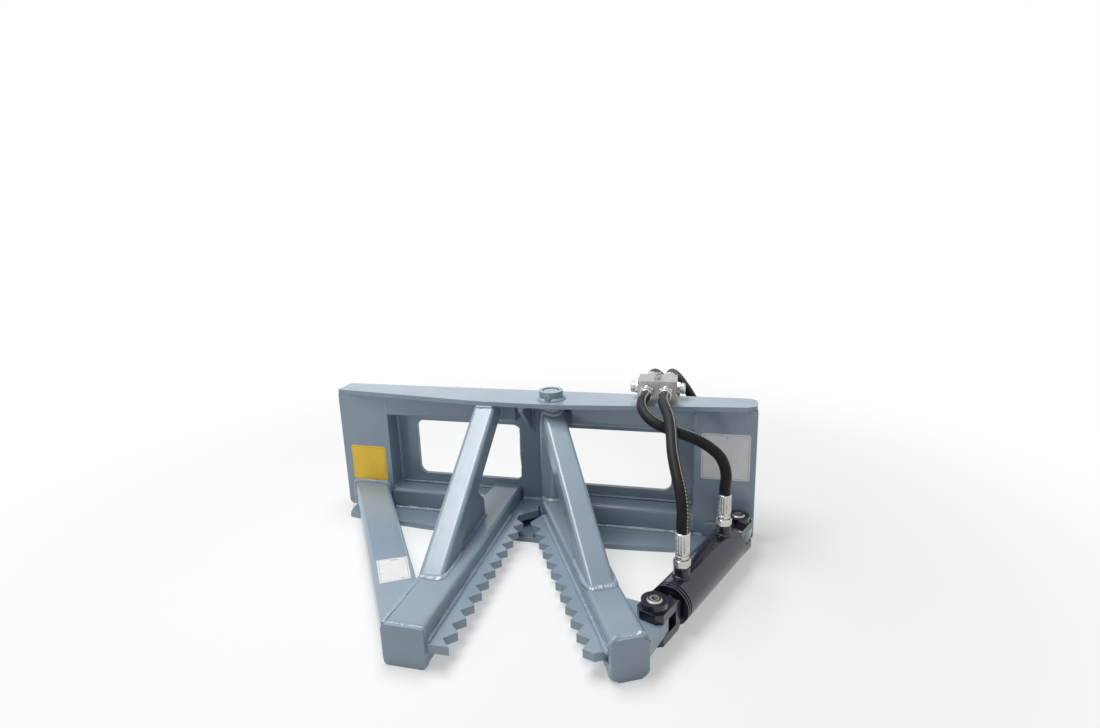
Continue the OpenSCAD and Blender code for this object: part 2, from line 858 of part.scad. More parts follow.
module moving_jaw_tube() {
    color(paint)
        in_jaw()
            difference() {
                square_tube(moving_tube_w, jaw_tube, moving_jaw_l - cap_t);
                translate([0, 0, -1]) cylinder(r = pivot_r + weld_gap, h = jaw_tube + 2);
                translate([-moving_tube_w, -relief_l, -1])
                    cube([2 * moving_tube_w, 2 * relief_l, floor_top + 3]);
                translate([0, 0, blade_z])
                    linear_extrude(blade_t)
                        intersection() {
                            moving_blade_outline();
                            translate([-hub_r - 1, -hub_r]) square([2 * hub_r + 2, 2 * hub_r]);
                        }
            }
}

module moving_jaw_cap() {
    cut = 12;
    w = tube_face;
    h = jaw_tube / 2;
    color(paint)
        in_jaw()
            translate([0, cap_t - moving_jaw_l, h])
                rotate([90, 0, 0])
                    linear_extrude(cap_t)
                        polygon([
                            [-w, cut - h], [cut - w, -h], [w - cut, -h], [w, cut - h],
                            [w, h - cut], [w - cut, h], [cut - w, h], [-w, h - cut]
                        ]);
}

module moving_brace() {
    color(paint)
        in_jaw()
            difference() {
                intersection() {
                    translate([0, -moving_brace_foot, jaw_tube])
                        sloping_tube(moving_brace_slope, 2 * moving_brace_foot);
                    translate([-small_tube, -frame_w, jaw_tube])
                        cube([2 * small_tube, frame_w, deck]);
                }
                cylinder(r = pivot_r + weld_gap, h = frame_w);
            }
}

module rod_lug() {
    rear_reach = 62;
    front_reach = 66;
    rear = [tube_face, rear_reach - rod_pin_s];
    front = [tube_face, -front_reach - rod_pin_s];
    pin = [rod_pin_n, -rod_pin_s];
    color(paint)
        in_jaw()
            translate([0, 0, cylinder_z - lug_t / 2])
                linear_extrude(lug_t)
                    difference() {
                        lug_outline(rear, front, pin, lug_r);
                        translate(pin) circle(clevis_pin_d / 2 + rod_hole_gap);
                    }
}

// The hydraulic cylinder

module cylinder_base_lug() {
    pin = base_pin_at;
    left_reach = 38;
    right_reach = 33;
    left = [base_pin_x - left_reach, 0];
    right = [min(base_pin_x + right_reach, half_w), 0];
    color(paint)
        translate([0, 0, cylinder_z - lug_t / 2])
            linear_extrude(lug_t)
                difference() {
                    lug_outline(right, left, pin, lug_r);
                    translate(pin) circle(clevis_pin_d / 2 + run_gap);
                }
}

module base_clevis() {
    color(black) on_cylinder() clevis();
}

module base_pin() {
    color(steel) on_cylinder() clevis_pin();
}

module base_roll_pin() {
    color(steel) on_cylinder() roll_pin();
}

module port_places() {
    for (x = [base_port_x, barrel_end - rod_port_back]) translate([x, 0, 0]) children();
}

module cylinder_barrel() {
    color(black)
        on_cylinder()
            difference() {
                along_x(clevis_l, barrel_d / 2, barrel_end - clevis_l);
                along_x(clevis_l + barrel_floor, barrel_bore / 2, barrel_end);
                port_places() cylinder(r = port_r, h = barrel_d);
            }
}

module cylinder_gland() {
    groove = 3;
    color(black)
        on_cylinder()
            difference() {
                union() {
                    along_x(barrel_end - sleeve_l, barrel_bore / 2 - run_gap, sleeve_l);
                    along_x(barrel_end, barrel_d / 2 - 2, gland_l);
                    for (i = [0:2])
                        along_x(barrel_end + i * (gland_l - groove) / 2 , barrel_d / 2, groove);
                }
                along_x(barrel_end - 2 * sleeve_l, rod_d / 2 + run_gap, 4 * sleeve_l);
            }
}

module port_bosses() {
    color(black)
        on_cylinder()
            port_places()
                difference() {
                    translate([0, 0, barrel_bore / 2])
                        cylinder(r = port_boss_r, h = port_boss_top - barrel_bore / 2);
                    along_x(-2 * port_boss_r, barrel_d / 2 + weld_gap, 4 * port_boss_r);
                    cylinder(r = port_r, h = barrel_d);
                }
}

module hose_end_fittings() {
    color(silver)
        on_cylinder()
            port_places()
                translate([0, 0, port_boss_top]) crimped_end(fitting_nut_h, fitting_nut_h + ferrule_h);
}

module piston() {
    color(steel)
        on_cylinder()
            difference() {
                union() {
                    along_x(piston_x, barrel_bore / 2 - run_gap, piston_l - 8);
                    along_x(piston_x, rod_d / 2 + 5, piston_l);
                }
                along_x(piston_x - 1, rod_d / 2 + run_gap, piston_l + 2);
            }
}

module piston_rod() {
    color(silver)
        on_cylinder() along_x(piston_x, rod_d / 2, pin_to_pin - clevis_l - piston_x);
}

module at_rod_pin() {
    on_cylinder() translate([pin_to_pin, 0, 0]) rotate([0, 0, 180]) children();
}

module rod_clevis() {
    color(black) at_rod_pin() clevis();
}

module rod_clevis_pin() {
    color(steel) at_rod_pin() clevis_pin();
}

module rod_roll_pin() {
    color(steel) at_rod_pin() roll_pin();
}

module round_boss() {
    from_pin = 54;
    d = 33;
    h = 8;
    color(paint)
        translate([base_pin_x - from_pin, 0, cylinder_z - d / 2])
            rotate([90, 0, 0]) cylinder(d = d, h = h);
}

// The valve block and its fittings

module valve_bolt_places() {
    inset = 18;
    for (y = [inset, valve_d - inset])
        translate([valve_x + port_left + port_pitch / 2, valve_y + y, 0]) children();
}

module valve_port_places() {
    for (x = [0, port_pitch]) translate([valve_x + port_left + x, 0, valve_port_z]) children();
}

module valve_block() {
    color(raw_alloy)
        difference() {
            translate([valve_x, valve_y, frame_h]) cube([valve_w, valve_d, valve_h]);
            valve_port_places()
                translate([0, valve_y + valve_d + 1, 0])
                    rotate([90, 0, 0]) cylinder(r = valve_bore_r, h = valve_d + 2);
            translate([valve_x - 1, valve_y + valve_d / 2, valve_port_z])
                rotate([0, 90, 0]) cylinder(r = valve_bore_r, h = valve_w + 2);
            valve_bolt_places()
                translate([0, 0, frame_h - 1])
                    cylinder(r = valve_bolt_r + weld_gap, h = valve_h + 2);
        }
}

module valve_caps() {
    stem = 6;
    hex_l = 6;
    cap_r = 12;
    cap_l = 18;
    rim = 2;
    color(silver)
        for (side = [0, 1])
            translate([valve_x + side * valve_w, valve_y + valve_d / 2, valve_port_z])
                rotate([0, 90 - 180 * (1 - side), 0]) {
                    translate([0, 0, -stem]) cylinder(r = valve_bore_r - run_gap, h = stem);
                    hex_nut(2 * cap_r, hex_l);
                    translate([0, 0, hex_l]) cylinder(r = cap_r, h = cap_l - hex_l - rim);
                    translate([0, 0, cap_l - rim]) cylinder(r1 = cap_r, r2 = cap_r - rim, h = rim);
                }
}

// A straight fitting that leaves the block along +Z, with a stem inside it
module block_fitting(length) {
    stem = 6;
    difference() {
        union() {
            translate([0, 0, -stem]) cylinder(r = valve_bore_r - run_gap, h = stem);
            crimped_end(10, length);
        }
        translate([0, 0, -stem - 1]) cylinder(r = port_r, h = length + stem + 2);
    }
}

module valve_front_fittings() {
    color(silver)
        valve_port_places()
            translate([0, valve_y, 0]) rotate([90, 0, 0]) block_fitting(front_fitting_l);
}

module valve_rear_fittings() {
    color(silver)
        valve_port_places()
            translate([0, valve_y + valve_d, 0]) rotate([-90, 0, 0]) block_fitting(rear_fitting_l);
}

module valve_bolts() {
    color(steel)
        valve_bolt_places() {
            translate([0, 0, deck]) cylinder(r = valve_bolt_r, h = top_plate_t + valve_h);
            translate([0, 0, frame_h + valve_h])
                difference() {
                    cylinder(r = 6.5, h = 8);
                    translate([0, 0, 4]) cylinder(r = 3.5, h = 5, $fn = 6);
                }
        }
}

// Hoses

module hose_base_end() {
    color(rubber) swept_hose(hose_base_route, hose_d / 2, 10, [1, 0, 0]);
}

module hose_rod_end() {
    color(rubber) swept_hose(hose_rod_route, hose_d / 2, 10, [1, 0, 0]);
}

module supply_hose_a() {
    color(rubber) swept_hose(supply_a_route, hose_d / 2, 10, [1, 0, 0]);
}

module supply_hose_b() {
    color(rubber) swept_hose(supply_b_route, hose_d / 2, 10, [1, 0, 0]);
}

module wrap_section(r) {
    half = (hose_b_y - hose_a_y) / 2;
    square([2 * half, 2 * r], center = true);
    for (s = [-1, 1]) translate([s * half, 0]) circle(r);
}

module spiral_wrap() {
    color(black)
        translate([wrap_x0, (hose_a_y + hose_b_y) / 2, hose_z])
            rotate([90, 0, 90])
                linear_extrude(wrap_l)
                    difference() {
                        wrap_section(hose_d / 2 + 3.5);
                        wrap_section(hose_d / 2 + 0.3);
                    }
}

// A quick coupler lying along -X from its hose
module quick_coupler() {
    tail = 36;
    hex_l = 12;
    hex_across = 30;
    sleeve = 15;
    socket_r = 9;
    body_l = coupler_l - tail - hex_l;
    rotate([0, -90, 0]) {
        crimped_end(14, tail);
        translate([0, 0, tail]) hex_nut(hex_across, hex_l);
        translate([0, 0, tail + hex_l])
            difference() {
                union() {
                    cylinder(r = coupler_r, h = sleeve);
                    translate([0, 0, sleeve]) cylinder(r = coupler_r - 3, h = body_l - sleeve);
                }
                translate([0, 0, 6]) cylinder(r = socket_r, h = body_l);
            }
    }
}

module quick_coupler_a() {
    color(silver) translate(supply_a_route[len(supply_a_route) - 1]) quick_coupler();
}

module quick_coupler_b() {
    color(silver) translate(supply_b_route[len(supply_b_route) - 1]) quick_coupler();
}

top_plate();
bottom_plate();
left_side_box();
right_side_box();
back_plate();
hook_lip();
upper_cross_tube_left();
upper_cross_tube_right();
lower_cross_tube_left();
lower_cross_tube_right();
centre_post();
post_gusset();
fixed_outer_tube();
fixed_inner_tube();
fixed_jaw_cap();
fixed_brace();
fixed_brace_web();
fixed_blade();
pivot_pin();
pivot_collar();
pivot_cross_bolt();
cylinder_base_lug();
round_boss();
valve_block();
valve_caps();
valve_front_fittings();
valve_rear_fittings();
valve_bolts();
pivot_tube();
pivot_bushes();
thrust_washers();
moving_jaw_tube();
moving_jaw_cap();
moving_brace();
moving_blade();
rod_lug();
cylinder_barrel();
cylinder_gland();
base_clevis();
port_bosses();
hose_end_fittings();
base_pin();
base_roll_pin();
piston();
piston_rod();
rod_clevis();
rod_clevis_pin();
rod_roll_pin();
hose_base_end();
hose_rod_end();
supply_hose_a();
supply_hose_b();
spiral_wrap();
quick_coupler_a();
quick_coupler_b();
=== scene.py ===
"""Looks of the tree puller: camera, hoses, paint, weld beads, metal finishes, blank films and studio.

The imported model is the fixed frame. X runs right, Y away from the jaws, Z up, in metres.
"""
import json
import math

import bmesh
import bpy
from bpy.props import FloatProperty, FloatVectorProperty, PointerProperty
from bpy.types import Operator, Panel, PropertyGroup
from mathutils import Matrix, Vector, noise


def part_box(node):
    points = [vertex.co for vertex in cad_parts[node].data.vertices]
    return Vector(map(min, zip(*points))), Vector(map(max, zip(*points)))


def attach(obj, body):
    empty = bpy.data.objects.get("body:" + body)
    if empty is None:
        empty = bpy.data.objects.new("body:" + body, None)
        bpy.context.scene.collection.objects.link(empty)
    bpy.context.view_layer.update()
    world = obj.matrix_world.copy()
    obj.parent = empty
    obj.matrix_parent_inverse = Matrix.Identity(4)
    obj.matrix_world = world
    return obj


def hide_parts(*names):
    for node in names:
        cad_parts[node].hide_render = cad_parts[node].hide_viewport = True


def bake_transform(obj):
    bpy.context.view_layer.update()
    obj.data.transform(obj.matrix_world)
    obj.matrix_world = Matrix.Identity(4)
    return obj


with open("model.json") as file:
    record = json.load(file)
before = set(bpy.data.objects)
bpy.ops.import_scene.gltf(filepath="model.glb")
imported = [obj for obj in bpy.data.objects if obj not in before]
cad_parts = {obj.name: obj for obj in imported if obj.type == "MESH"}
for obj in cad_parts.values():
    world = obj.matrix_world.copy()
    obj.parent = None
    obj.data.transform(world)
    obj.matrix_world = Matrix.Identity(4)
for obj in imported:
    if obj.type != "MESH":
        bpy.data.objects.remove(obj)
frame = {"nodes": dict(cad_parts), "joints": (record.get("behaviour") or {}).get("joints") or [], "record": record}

bl_info = {
    "name": "Tree puller looks",
    "version": (1, 0, 0),
    "blender": (4, 5, 0),
    "location": "View3D > Sidebar > Tree puller",
    "description": "Finishes the packed tree puller and sets it in a studio",
    "category": "Object",
}

MM = 0.001
X = Vector((1, 0, 0))
Y = Vector((0, 1, 0))
Z = Vector((0, 0, 1))
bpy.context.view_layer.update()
SLOT_OF = {part["node"]: part["material_slot"] for part in frame["record"]["subparts"]}
JOINTS = {joint["name"]: joint for joint in frame["joints"]}

# Places that the joints give
PIVOT = Vector(JOINTS["jaw_swing"]["pos_m"])
JAW_ANGLE = math.radians(JOINTS["jaw_swing"]["range_deg"][1])
BASE_PIN = Vector(JOINTS["cylinder_swing"]["pos_m"])
CYLINDER_AXIS = Vector(JOINTS["rod_slide"]["axis"]).normalized()

# Heights that the solids' boxes give
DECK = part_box("top_plate")[0].z
FLOOR_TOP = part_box("bottom_plate")[1].z
TUBE_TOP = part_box("lower_cross_tube_left")[1].z
FIXED_JAW_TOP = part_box("fixed_inner_tube")[1].z
MOVING_JAW_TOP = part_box("moving_jaw_tube")[1].z

# Sizes of the solids that no box of a node gives
TUBE_CORNER = 9 * MM
BRACE_SIDE = 50.8 * MM
PIVOT_TUBE_R = 28.5 * MM
LIP_THICKNESS = 10 * MM
OUTER_TUBE_FOOT_X = -423.6 * MM
OUTER_TUBE_ANGLE = math.radians(34.74)
FIXED_BRACE_SLOPE = math.radians(34.5)
FIXED_BRACE_FOOT = 368 * MM
FIXED_BLADE_REAR = -52 * MM
MOVING_BRACE_SLOPE = math.radians(30.6)
MOVING_BRACE_FOOT = 379 * MM
MOVING_TUBE_W = 63.5 * MM
MOVING_CAP_CORNER = 20 * MM
MOVING_CAP_ROOT = 512 * MM
MOVING_BLADE_REAR = 36 * MM
MOVING_BLADE_TIP = 508 * MM
ROD_PIN_S = 452 * MM
ROD_LUG_REAR = ROD_PIN_S - 62 * MM
ROD_LUG_FRONT = ROD_PIN_S + 60 * MM
CLEVIS_L = 46 * MM
CLEVIS_W = 50 * MM
CLEVIS_FLAT_H = 35 * MM
CLEVIS_CORNER = 3 * MM
BARREL_R = 36.5 * MM
ROD_R = 17.5 * MM
ROD_CLEVIS_FACE = 312.9 * MM
PORTS_X = (76 * MM, 258.9 * MM)
PORT_BOSS_R = 15 * MM
PORT_BOSS_TOP = 54 * MM

# The weld beads: sizes, shares of a size or a pitch, and how often they wander in a metre
BEAD_STEP = 1.3 * MM
BEAD_SHARES = (0.0, 0.12, 0.3, 0.5, 0.7, 0.88, 1.0)
GROUND_FLUSH = 0.2 * MM
BEAD_TAPER = 4 * MM
TOES_SUNK = 0.25 * MM
ROOT_SUNK = 0.8 * MM
SPATTER_HEIGHT = 0.55 * MM
CROWN_SHARE = 0.16
BOW_SHARE = 0.62
START_SHARE = 0.35
WANDER_RATE = 45
LUMP_RATE = 160
SPATTER_RATE = 420
SEED_STEP = 3.7
END_GAP = 4 * MM
SHORT_GAP = 3 * MM
EDGE_GAP = 2 * MM
LUG_LEG = 2.6 * MM
PORT_LEG = 3.5 * MM
THIN_LEG = 4 * MM
CAP_LEG = 4.5 * MM
SMALL_LEG = 5 * MM
COLLAR_LEG = 5.5 * MM
JOINT_LEG = 6 * MM
BRACE_LEG = 7 * MM
WIDE_LEG = 8 * MM
SECOND_PASS = 8.5 * MM
SECOND_PASS_HALF = 3.6 * MM
SECOND_PASS_REAR = 60 * MM
BOX_SEAM_FOOT = 14 * MM
PIVOT_SEAM_FOOT = 16 * MM
LEFT_DECK_BEAD = 60 * MM
STITCH_L = 60 * MM
STITCH_GAP = 70 * MM

# Sizes of the fittings and the hoses
NUT_ACROSS = 27 * MM
CAP_ACROSS = 24 * MM
BOLT_ACROSS = 13 * MM
BOLT_HEAD_H = 5.3 * MM
BOLT_NUT_L = 10 * MM
HELD_HOSE_STEP = 4 * MM
SUPPLY_HOSE_STEP = 5 * MM
GUARD_THICK = 2.2 * MM
GUARD_STEP = 2.6 * MM
GUARD_SPACING = 1.13

# The camera's place, its turns and its lens in millimetres
CAMERA_AT = Vector((0.39275, -1.30192, 0.72208))
CAMERA_YAW = math.radians(-14.80)
CAMERA_PITCH = math.radians(13.74)
CAMERA_ROLL = math.radians(1.97)
CAMERA_LENS = 20.60
CAMERA_SENSOR = 36

# The stage in metres
FLOOR_R = 14
FLOOR_DROP = 0.2 * MM
FADE_STARTS = 0.5
FADE_ENDS = 1.5
NEAR_GLOW = 0.42
TOP_LAMP_AT = Vector((-0.42, -0.12, 2.2))
TOP_LAMP_AIM = Vector((0, -0.2, 0))
TOP_LAMP_SIZE = (1.7, 1.0)
FILL_LAMP_AT = Vector((-1.7, -2.4, 1.3))
FILL_LAMP_AIM = Vector((0, -0.2, 0.1))
FILL_LAMP_SIZE = (1.4, 1.2)

# Hose routes in millimetres, as the solids have them
HOSE_BASE_ROUTE = [
    [261, -29, 338], [261, -43, 338], [258, -60, 336], [260, -82, 328], [272, -103, 317],
    [289, -115, 308], [310, -119, 300], [331, -119, 293], [353, -116, 285], [376, -112, 274],
    [397, -110, 260], [414, -110, 244], [424, -111, 223], [427, -112, 201],
    [425.5, -111.5, 183], [425.5, -111.5, 167],
]
HOSE_ROD_ROUTE = [
    [301, -29, 338], [301, -43, 338], [301, -68, 338], [306, -93, 336], [313, -117, 330],
    [319, -140, 322], [323, -163, 312], [326, -185, 299], [329, -206, 285], [334, -225, 270],
    [340, -243, 254], [346, -258, 238], [350, -269, 220], [352, -276, 202], [352, -279, 184],
    [352, -279, 167],
]
SUPPLY_A_ROUTE = [
    [261, 125, 338], [261, 150, 338], [264, 180, 332], [273, 210, 316], [289, 236, 288],
    [310, 249, 251], [332, 245, 212], [349, 233, 174], [360, 218, 135], [362, 201, 98],
    [351, 181, 62], [327, 162, 35], [294, 146, 21], [250, 136, 17], [205, 134, 17],
    [145, 134, 17], [80, 134, 17], [15, 134, 17], [-50, 134, 17], [-115, 134, 17],
    [-180, 134, 17], [-240, 134, 17], [-295, 135, 17], [-345, 138, 18], [-380, 138, 18],
]
SUPPLY_B_ROUTE = [
    [301, 125, 338], [301, 150, 338], [304, 181, 333], [313, 213, 317], [328, 243, 288],
    [348, 260, 251], [367, 261, 212], [381, 251, 174], [389, 238, 135], [389, 226, 98],
    [378, 210, 62], [354, 194, 36], [319, 179, 21], [268, 165, 17], [205, 158, 17],
    [145, 158, 17], [80, 158, 17], [15, 158, 17], [-50, 158, 17], [-115, 158, 17],
    [-180, 158, 17], [-240, 158, 17], [-284, 162, 17], [-326, 174, 17],
    [-360, 178, 18], [-380, 178, 18],
]


# Settings that a user would change

class PaintSettings(PropertyGroup):
    """The blue-grey gloss paint."""
    colour: FloatVectorProperty(
        name="Colour", description="Colour of the paint", subtype="COLOR", size=3,
        min=0, max=1, default=(0.252, 0.328, 0.405))
    roughness: FloatProperty(
        name="Roughness", description="Roughness of the paint", subtype="FACTOR",
        min=0, max=1, default=0.22)
    edge_radius: FloatProperty(
        name="Edge radius", description="Softening of the cut edges under the paint",
        unit="LENGTH", min=0, default=1.6 * MM)
    peel_height: FloatProperty(
        name="Peel height", description="Height of the ripples that spraying leaves",
        unit="LENGTH", min=0, default=0.20 * MM)


class WeldSettings(PropertyGroup):
    """The weld beads."""
    leg: FloatProperty(
        name="Leg", description="Leg of the usual fillet weld", unit="LENGTH",
        min=0, default=6.5 * MM)
    pitch: FloatProperty(
        name="Ripple pitch", description="Distance from one ripple to the next",
        unit="LENGTH", min=1 * MM, default=5.2 * MM)
    ripple: FloatProperty(
        name="Ripple height", description="Height of the ripples", unit="LENGTH",
        min=0, default=1.05 * MM)


class HoseSettings(PropertyGroup):
    """The hydraulic hoses."""
    diameter: FloatProperty(
        name="Diameter", description="Outer diameter of every hose", unit="LENGTH",
        min=10 * MM, default=22 * MM)
    colour: FloatVectorProperty(
        name="Cover colour", description="Colour of the rubber cover", subtype="COLOR",
        size=3, min=0, max=1, default=(0.006, 0.006, 0.007))
    guard_band: FloatProperty(
        name="Guard band", description="Width of the spiral guard's band", unit="LENGTH",
        min=5 * MM, default=19 * MM)


class MetalSettings(PropertyGroup):
    """Colours of the cylinder, the fittings and the bare metal."""
    black: FloatVectorProperty(
        name="Black paint", description="Colour of the cylinder's paint", subtype="COLOR",
        size=3, min=0, max=1, default=(0.010, 0.009, 0.018))
    zinc: FloatVectorProperty(
        name="Zinc", description="Colour of the plated fittings", subtype="COLOR",
        size=3, min=0, max=1, default=(0.66, 0.65, 0.63))
    aluminium: FloatVectorProperty(
        name="Aluminium", description="Colour of the valve block", subtype="COLOR",
        size=3, min=0, max=1, default=(0.50, 0.49, 0.47))
    steel: FloatVectorProperty(
        name="Steel", description="Colour of the machined steel", subtype="COLOR",
        size=3, min=0, max=1, default=(0.52, 0.51, 0.50))
    bronze: FloatVectorProperty(
        name="Bronze", description="Colour of the bearings", subtype="COLOR",
        size=3, min=0, max=1, default=(0.55, 0.36, 0.16))


class FilmSettings(PropertyGroup):
    """The blank films on the frame and the jaw."""
    yellow: FloatVectorProperty(
        name="Yellow", description="Colour of the yellow film", subtype="COLOR",
        size=3, min=0, max=1, default=(0.95, 0.60, 0.02))
    white: FloatVectorProperty(
        name="White", description="Colour of the white films", subtype="COLOR",
        size=3, min=0, max=1, default=(0.76, 0.76, 0.77))
    thickness: FloatProperty(
        name="Thickness", description="Thickness of each film", unit="LENGTH",
        min=0.1 * MM, default=0.5 * MM)


class StageSettings(PropertyGroup):
    """The floor and the lamps."""
    floor: FloatVectorProperty(
        name="Floor", description="Colour of the floor", subtype="COLOR",
        size=3, min=0, max=1, default=(0.86, 0.86, 0.86))
    top_power: FloatProperty(
        name="Top lamp", description="Power of the lamp overhead", unit="POWER",
        min=0, default=47)
    fill_power: FloatProperty(
        name="Fill lamp", description="Power of the lamp in front", unit="POWER",
        min=0, default=4)
    sky: FloatProperty(
        name="Sky", description="Strength of the light from all round", subtype="FACTOR",
        min=0, max=2, default=0.25)


def settings(group):
    """The scene's settings of one kind, such as paint or welds."""
    return getattr(bpy.context.scene, "tree_puller_" + group)


# Node helpers

def feed(tree, socket, value):
    """Links an output to an input socket, or sets its value. A colour may be given as three numbers."""
    if isinstance(value, bpy.types.NodeSocket):
        tree.links.new(value, socket)
    elif socket.type == "RGBA":
        socket.default_value = (*value[:3], 1)
    else:
        socket.default_value = value


def add(tree, kind, inputs=None, **values):
    """A new node with its values and, by socket name, its inputs: numbers or sockets to link."""
    node = tree.nodes.new(kind)
    for key, value in values.items():
        setattr(node, key, value)
    for key, value in (inputs or {}).items():
        feed(tree, node.inputs[key], value)
    return node


def maths(tree, operation, a, b=0.0, clamp=False):
    """The output of a Math node."""
    return add(tree, "ShaderNodeMath", {0: a, 1: b}, operation=operation, use_clamp=clamp).outputs[0]


def mixed(tree, factor, a, b):
    """The output of a node that mixes two colours."""
    return add(tree, "ShaderNodeMix", {0: factor, 6: a, 7: b}, data_type="RGBA").outputs[2]


def ranged(tree, value, low, high, start=0.0, end=1.0, steps="LINEAR"):
    """A value taken from the range start to end into the range low to high."""
    node = add(tree, "ShaderNodeMapRange", {
        "Value": value, "From Min": start, "From Max": end, "To Min": low, "To Max": high},
        interpolation_type=steps)
    return node.outputs[0]


def noise_value(tree, vector, scale, detail=2.0):
    """The value of a noise texture."""
    node = add(tree, "ShaderNodeTexNoise", {"Vector": vector, "Scale": scale, "Detail": detail})
    return node.outputs["Fac"]


def object_place(tree):
    """The place on the object, in metres."""
    return add(tree, "ShaderNodeTexCoord").outputs["Object"]


def bumped(tree, height, distance, strength, normal=None):
    """The normal of a surface with a relief of this height."""
    node = add(tree, "ShaderNodeBump", {"Height": height, "Distance": distance, "Strength": strength})
    if normal:
        tree.links.new(normal, node.inputs["Normal"])
    return node.outputs[0]


def new_group(name, inputs, outputs):
    """An empty shader node group, with its input and output nodes."""
    group = bpy.data.node_groups.new(name, "ShaderNodeTree")
    kinds = {"value": "NodeSocketFloat", "colour": "NodeSocketColor", "vector": "NodeSocketVector"}
    for label, kind, default in inputs:
        socket = group.interface.new_socket(name=label, in_out="INPUT", socket_type=kinds[kind])
        socket.default_value = (*default, 1) if kind == "colour" else default
    for label, kind in outputs:
        group.interface.new_socket(name=label, in_out="OUTPUT", socket_type=kinds[kind])
    return group, group.nodes.new("NodeGroupInput"), group.nodes.new("NodeGroupOutput")


def use_group(tree, name, values):
    """A node that places a group in a material with its own values."""
    return add(tree, "ShaderNodeGroup", values, node_tree=bpy.data.node_groups[name])


def new_material(name, **shader_values):
    """A material with a Principled shader that has these values. Returns it, its tree and the shader."""
    material = bpy.data.materials.new(name)
    material.use_nodes = True
    tree = material.node_tree
    shader = tree.nodes["Principled BSDF"]
    for key, value in shader_values.items():
        feed(tree, shader.inputs[key.replace("_", " ")], value)
    return material, tree, shader


def finish_shader(tree, shader, colour, roughness, normal):
    """Links what a material has worked out to its shader."""
    for name, value in (("Base Color", colour), ("Roughness", roughness), ("Normal", normal)):
        tree.links.new(value, shader.inputs[name])


# Effects that several materials share

def build_edge_group():
    """Softened edges: a rounded normal, and a mask that is 1 where a face turns into the next."""
    group, inward, outward = new_group(
        "Edge softening", [("Radius", "value", 1.5 * MM)],
        [("Normal", "vector"), ("Edge", "value")])
    bevel = add(group, "ShaderNodeBevel", {"Radius": inward.outputs["Radius"]}, samples=4)
    geometry = add(group, "ShaderNodeNewGeometry")
    facing = add(
        group, "ShaderNodeVectorMath", {0: bevel.outputs[0], 1: geometry.outputs["Normal"]},
        operation="DOT_PRODUCT")
    mask_rise = 5.0
    turned = maths(group, "SUBTRACT", 1.0, facing.outputs["Value"], clamp=True)
    edge = maths(group, "MULTIPLY", turned, mask_rise, clamp=True)
    group.links.new(bevel.outputs[0], outward.inputs["Normal"])
    group.links.new(edge, outward.inputs["Edge"])


def build_mottle_group():
    """Slow drift of a colour over the surface, and fine specks of dirt in it."""
    group, inward, outward = new_group(
        "Mottled colour",
        [("Colour", "colour", (0.5, 0.5, 0.5)), ("Second", "colour", (0.4, 0.4, 0.4)),
         ("Speck", "colour", (0.05, 0.05, 0.05)), ("Drift scale", "value", 7.0),
         ("Specks", "value", 0.3)],
        [("Colour", "colour"), ("Drift", "value")])
    cell_scale, speck_size, plain_share = 95.0, 0.11, 0.86
    place = object_place(group)
    drift = ranged(group, noise_value(group, place, inward.outputs["Drift scale"], 4.0), 0.0, 1.0, 0.35, 0.65)
    cells = add(group, "ShaderNodeTexVoronoi", {"Vector": place, "Scale": cell_scale, "Randomness": 1.0})
    inside = maths(group, "LESS_THAN", cells.outputs["Distance"], speck_size)
    picked = add(group, "ShaderNodeSeparateColor", {"Color": cells.outputs["Color"]})
    rare = maths(group, "GREATER_THAN", picked.outputs["Red"], plain_share)
    speck = maths(group, "MULTIPLY", inside, rare)
    amount = maths(group, "MULTIPLY", speck, inward.outputs["Specks"])
    base = mixed(group, drift, inward.outputs["Colour"], inward.outputs["Second"])
    group.links.new(mixed(group, amount, base, inward.outputs["Speck"]), outward.inputs["Colour"])
    group.links.new(drift, outward.inputs["Drift"])


def build_grain_group():
    """Fine scratches along one direction and grains, as a height and a change of roughness."""
    group, inward, outward = new_group(
        "Machined grain",
        [("Stretch", "vector", (1.0, 1.0, 1.0)), ("Scale", "value", 400.0),
         ("Roughness", "value", 0.3), ("Spread", "value", 0.2)],
        [("Height", "value"), ("Roughness", "value")])
    place = object_place(group)
    stretched = add(
        group, "ShaderNodeVectorMath", {0: place, 1: inward.outputs["Stretch"]},
        operation="MULTIPLY").outputs[0]
    smear_scale = 28.0
    grain = noise_value(group, stretched, inward.outputs["Scale"], 3.0)
    smear = noise_value(group, place, smear_scale, 3.0)
    offset = maths(group, "SUBTRACT", maths(group, "ADD", grain, smear), 1.0)
    change = maths(group, "MULTIPLY", offset, inward.outputs["Spread"])
    rough = maths(group, "ADD", inward.outputs["Roughness"], change, clamp=True)
    group.links.new(grain, outward.inputs["Height"])
    group.links.new(rough, outward.inputs["Roughness"])


# Materials

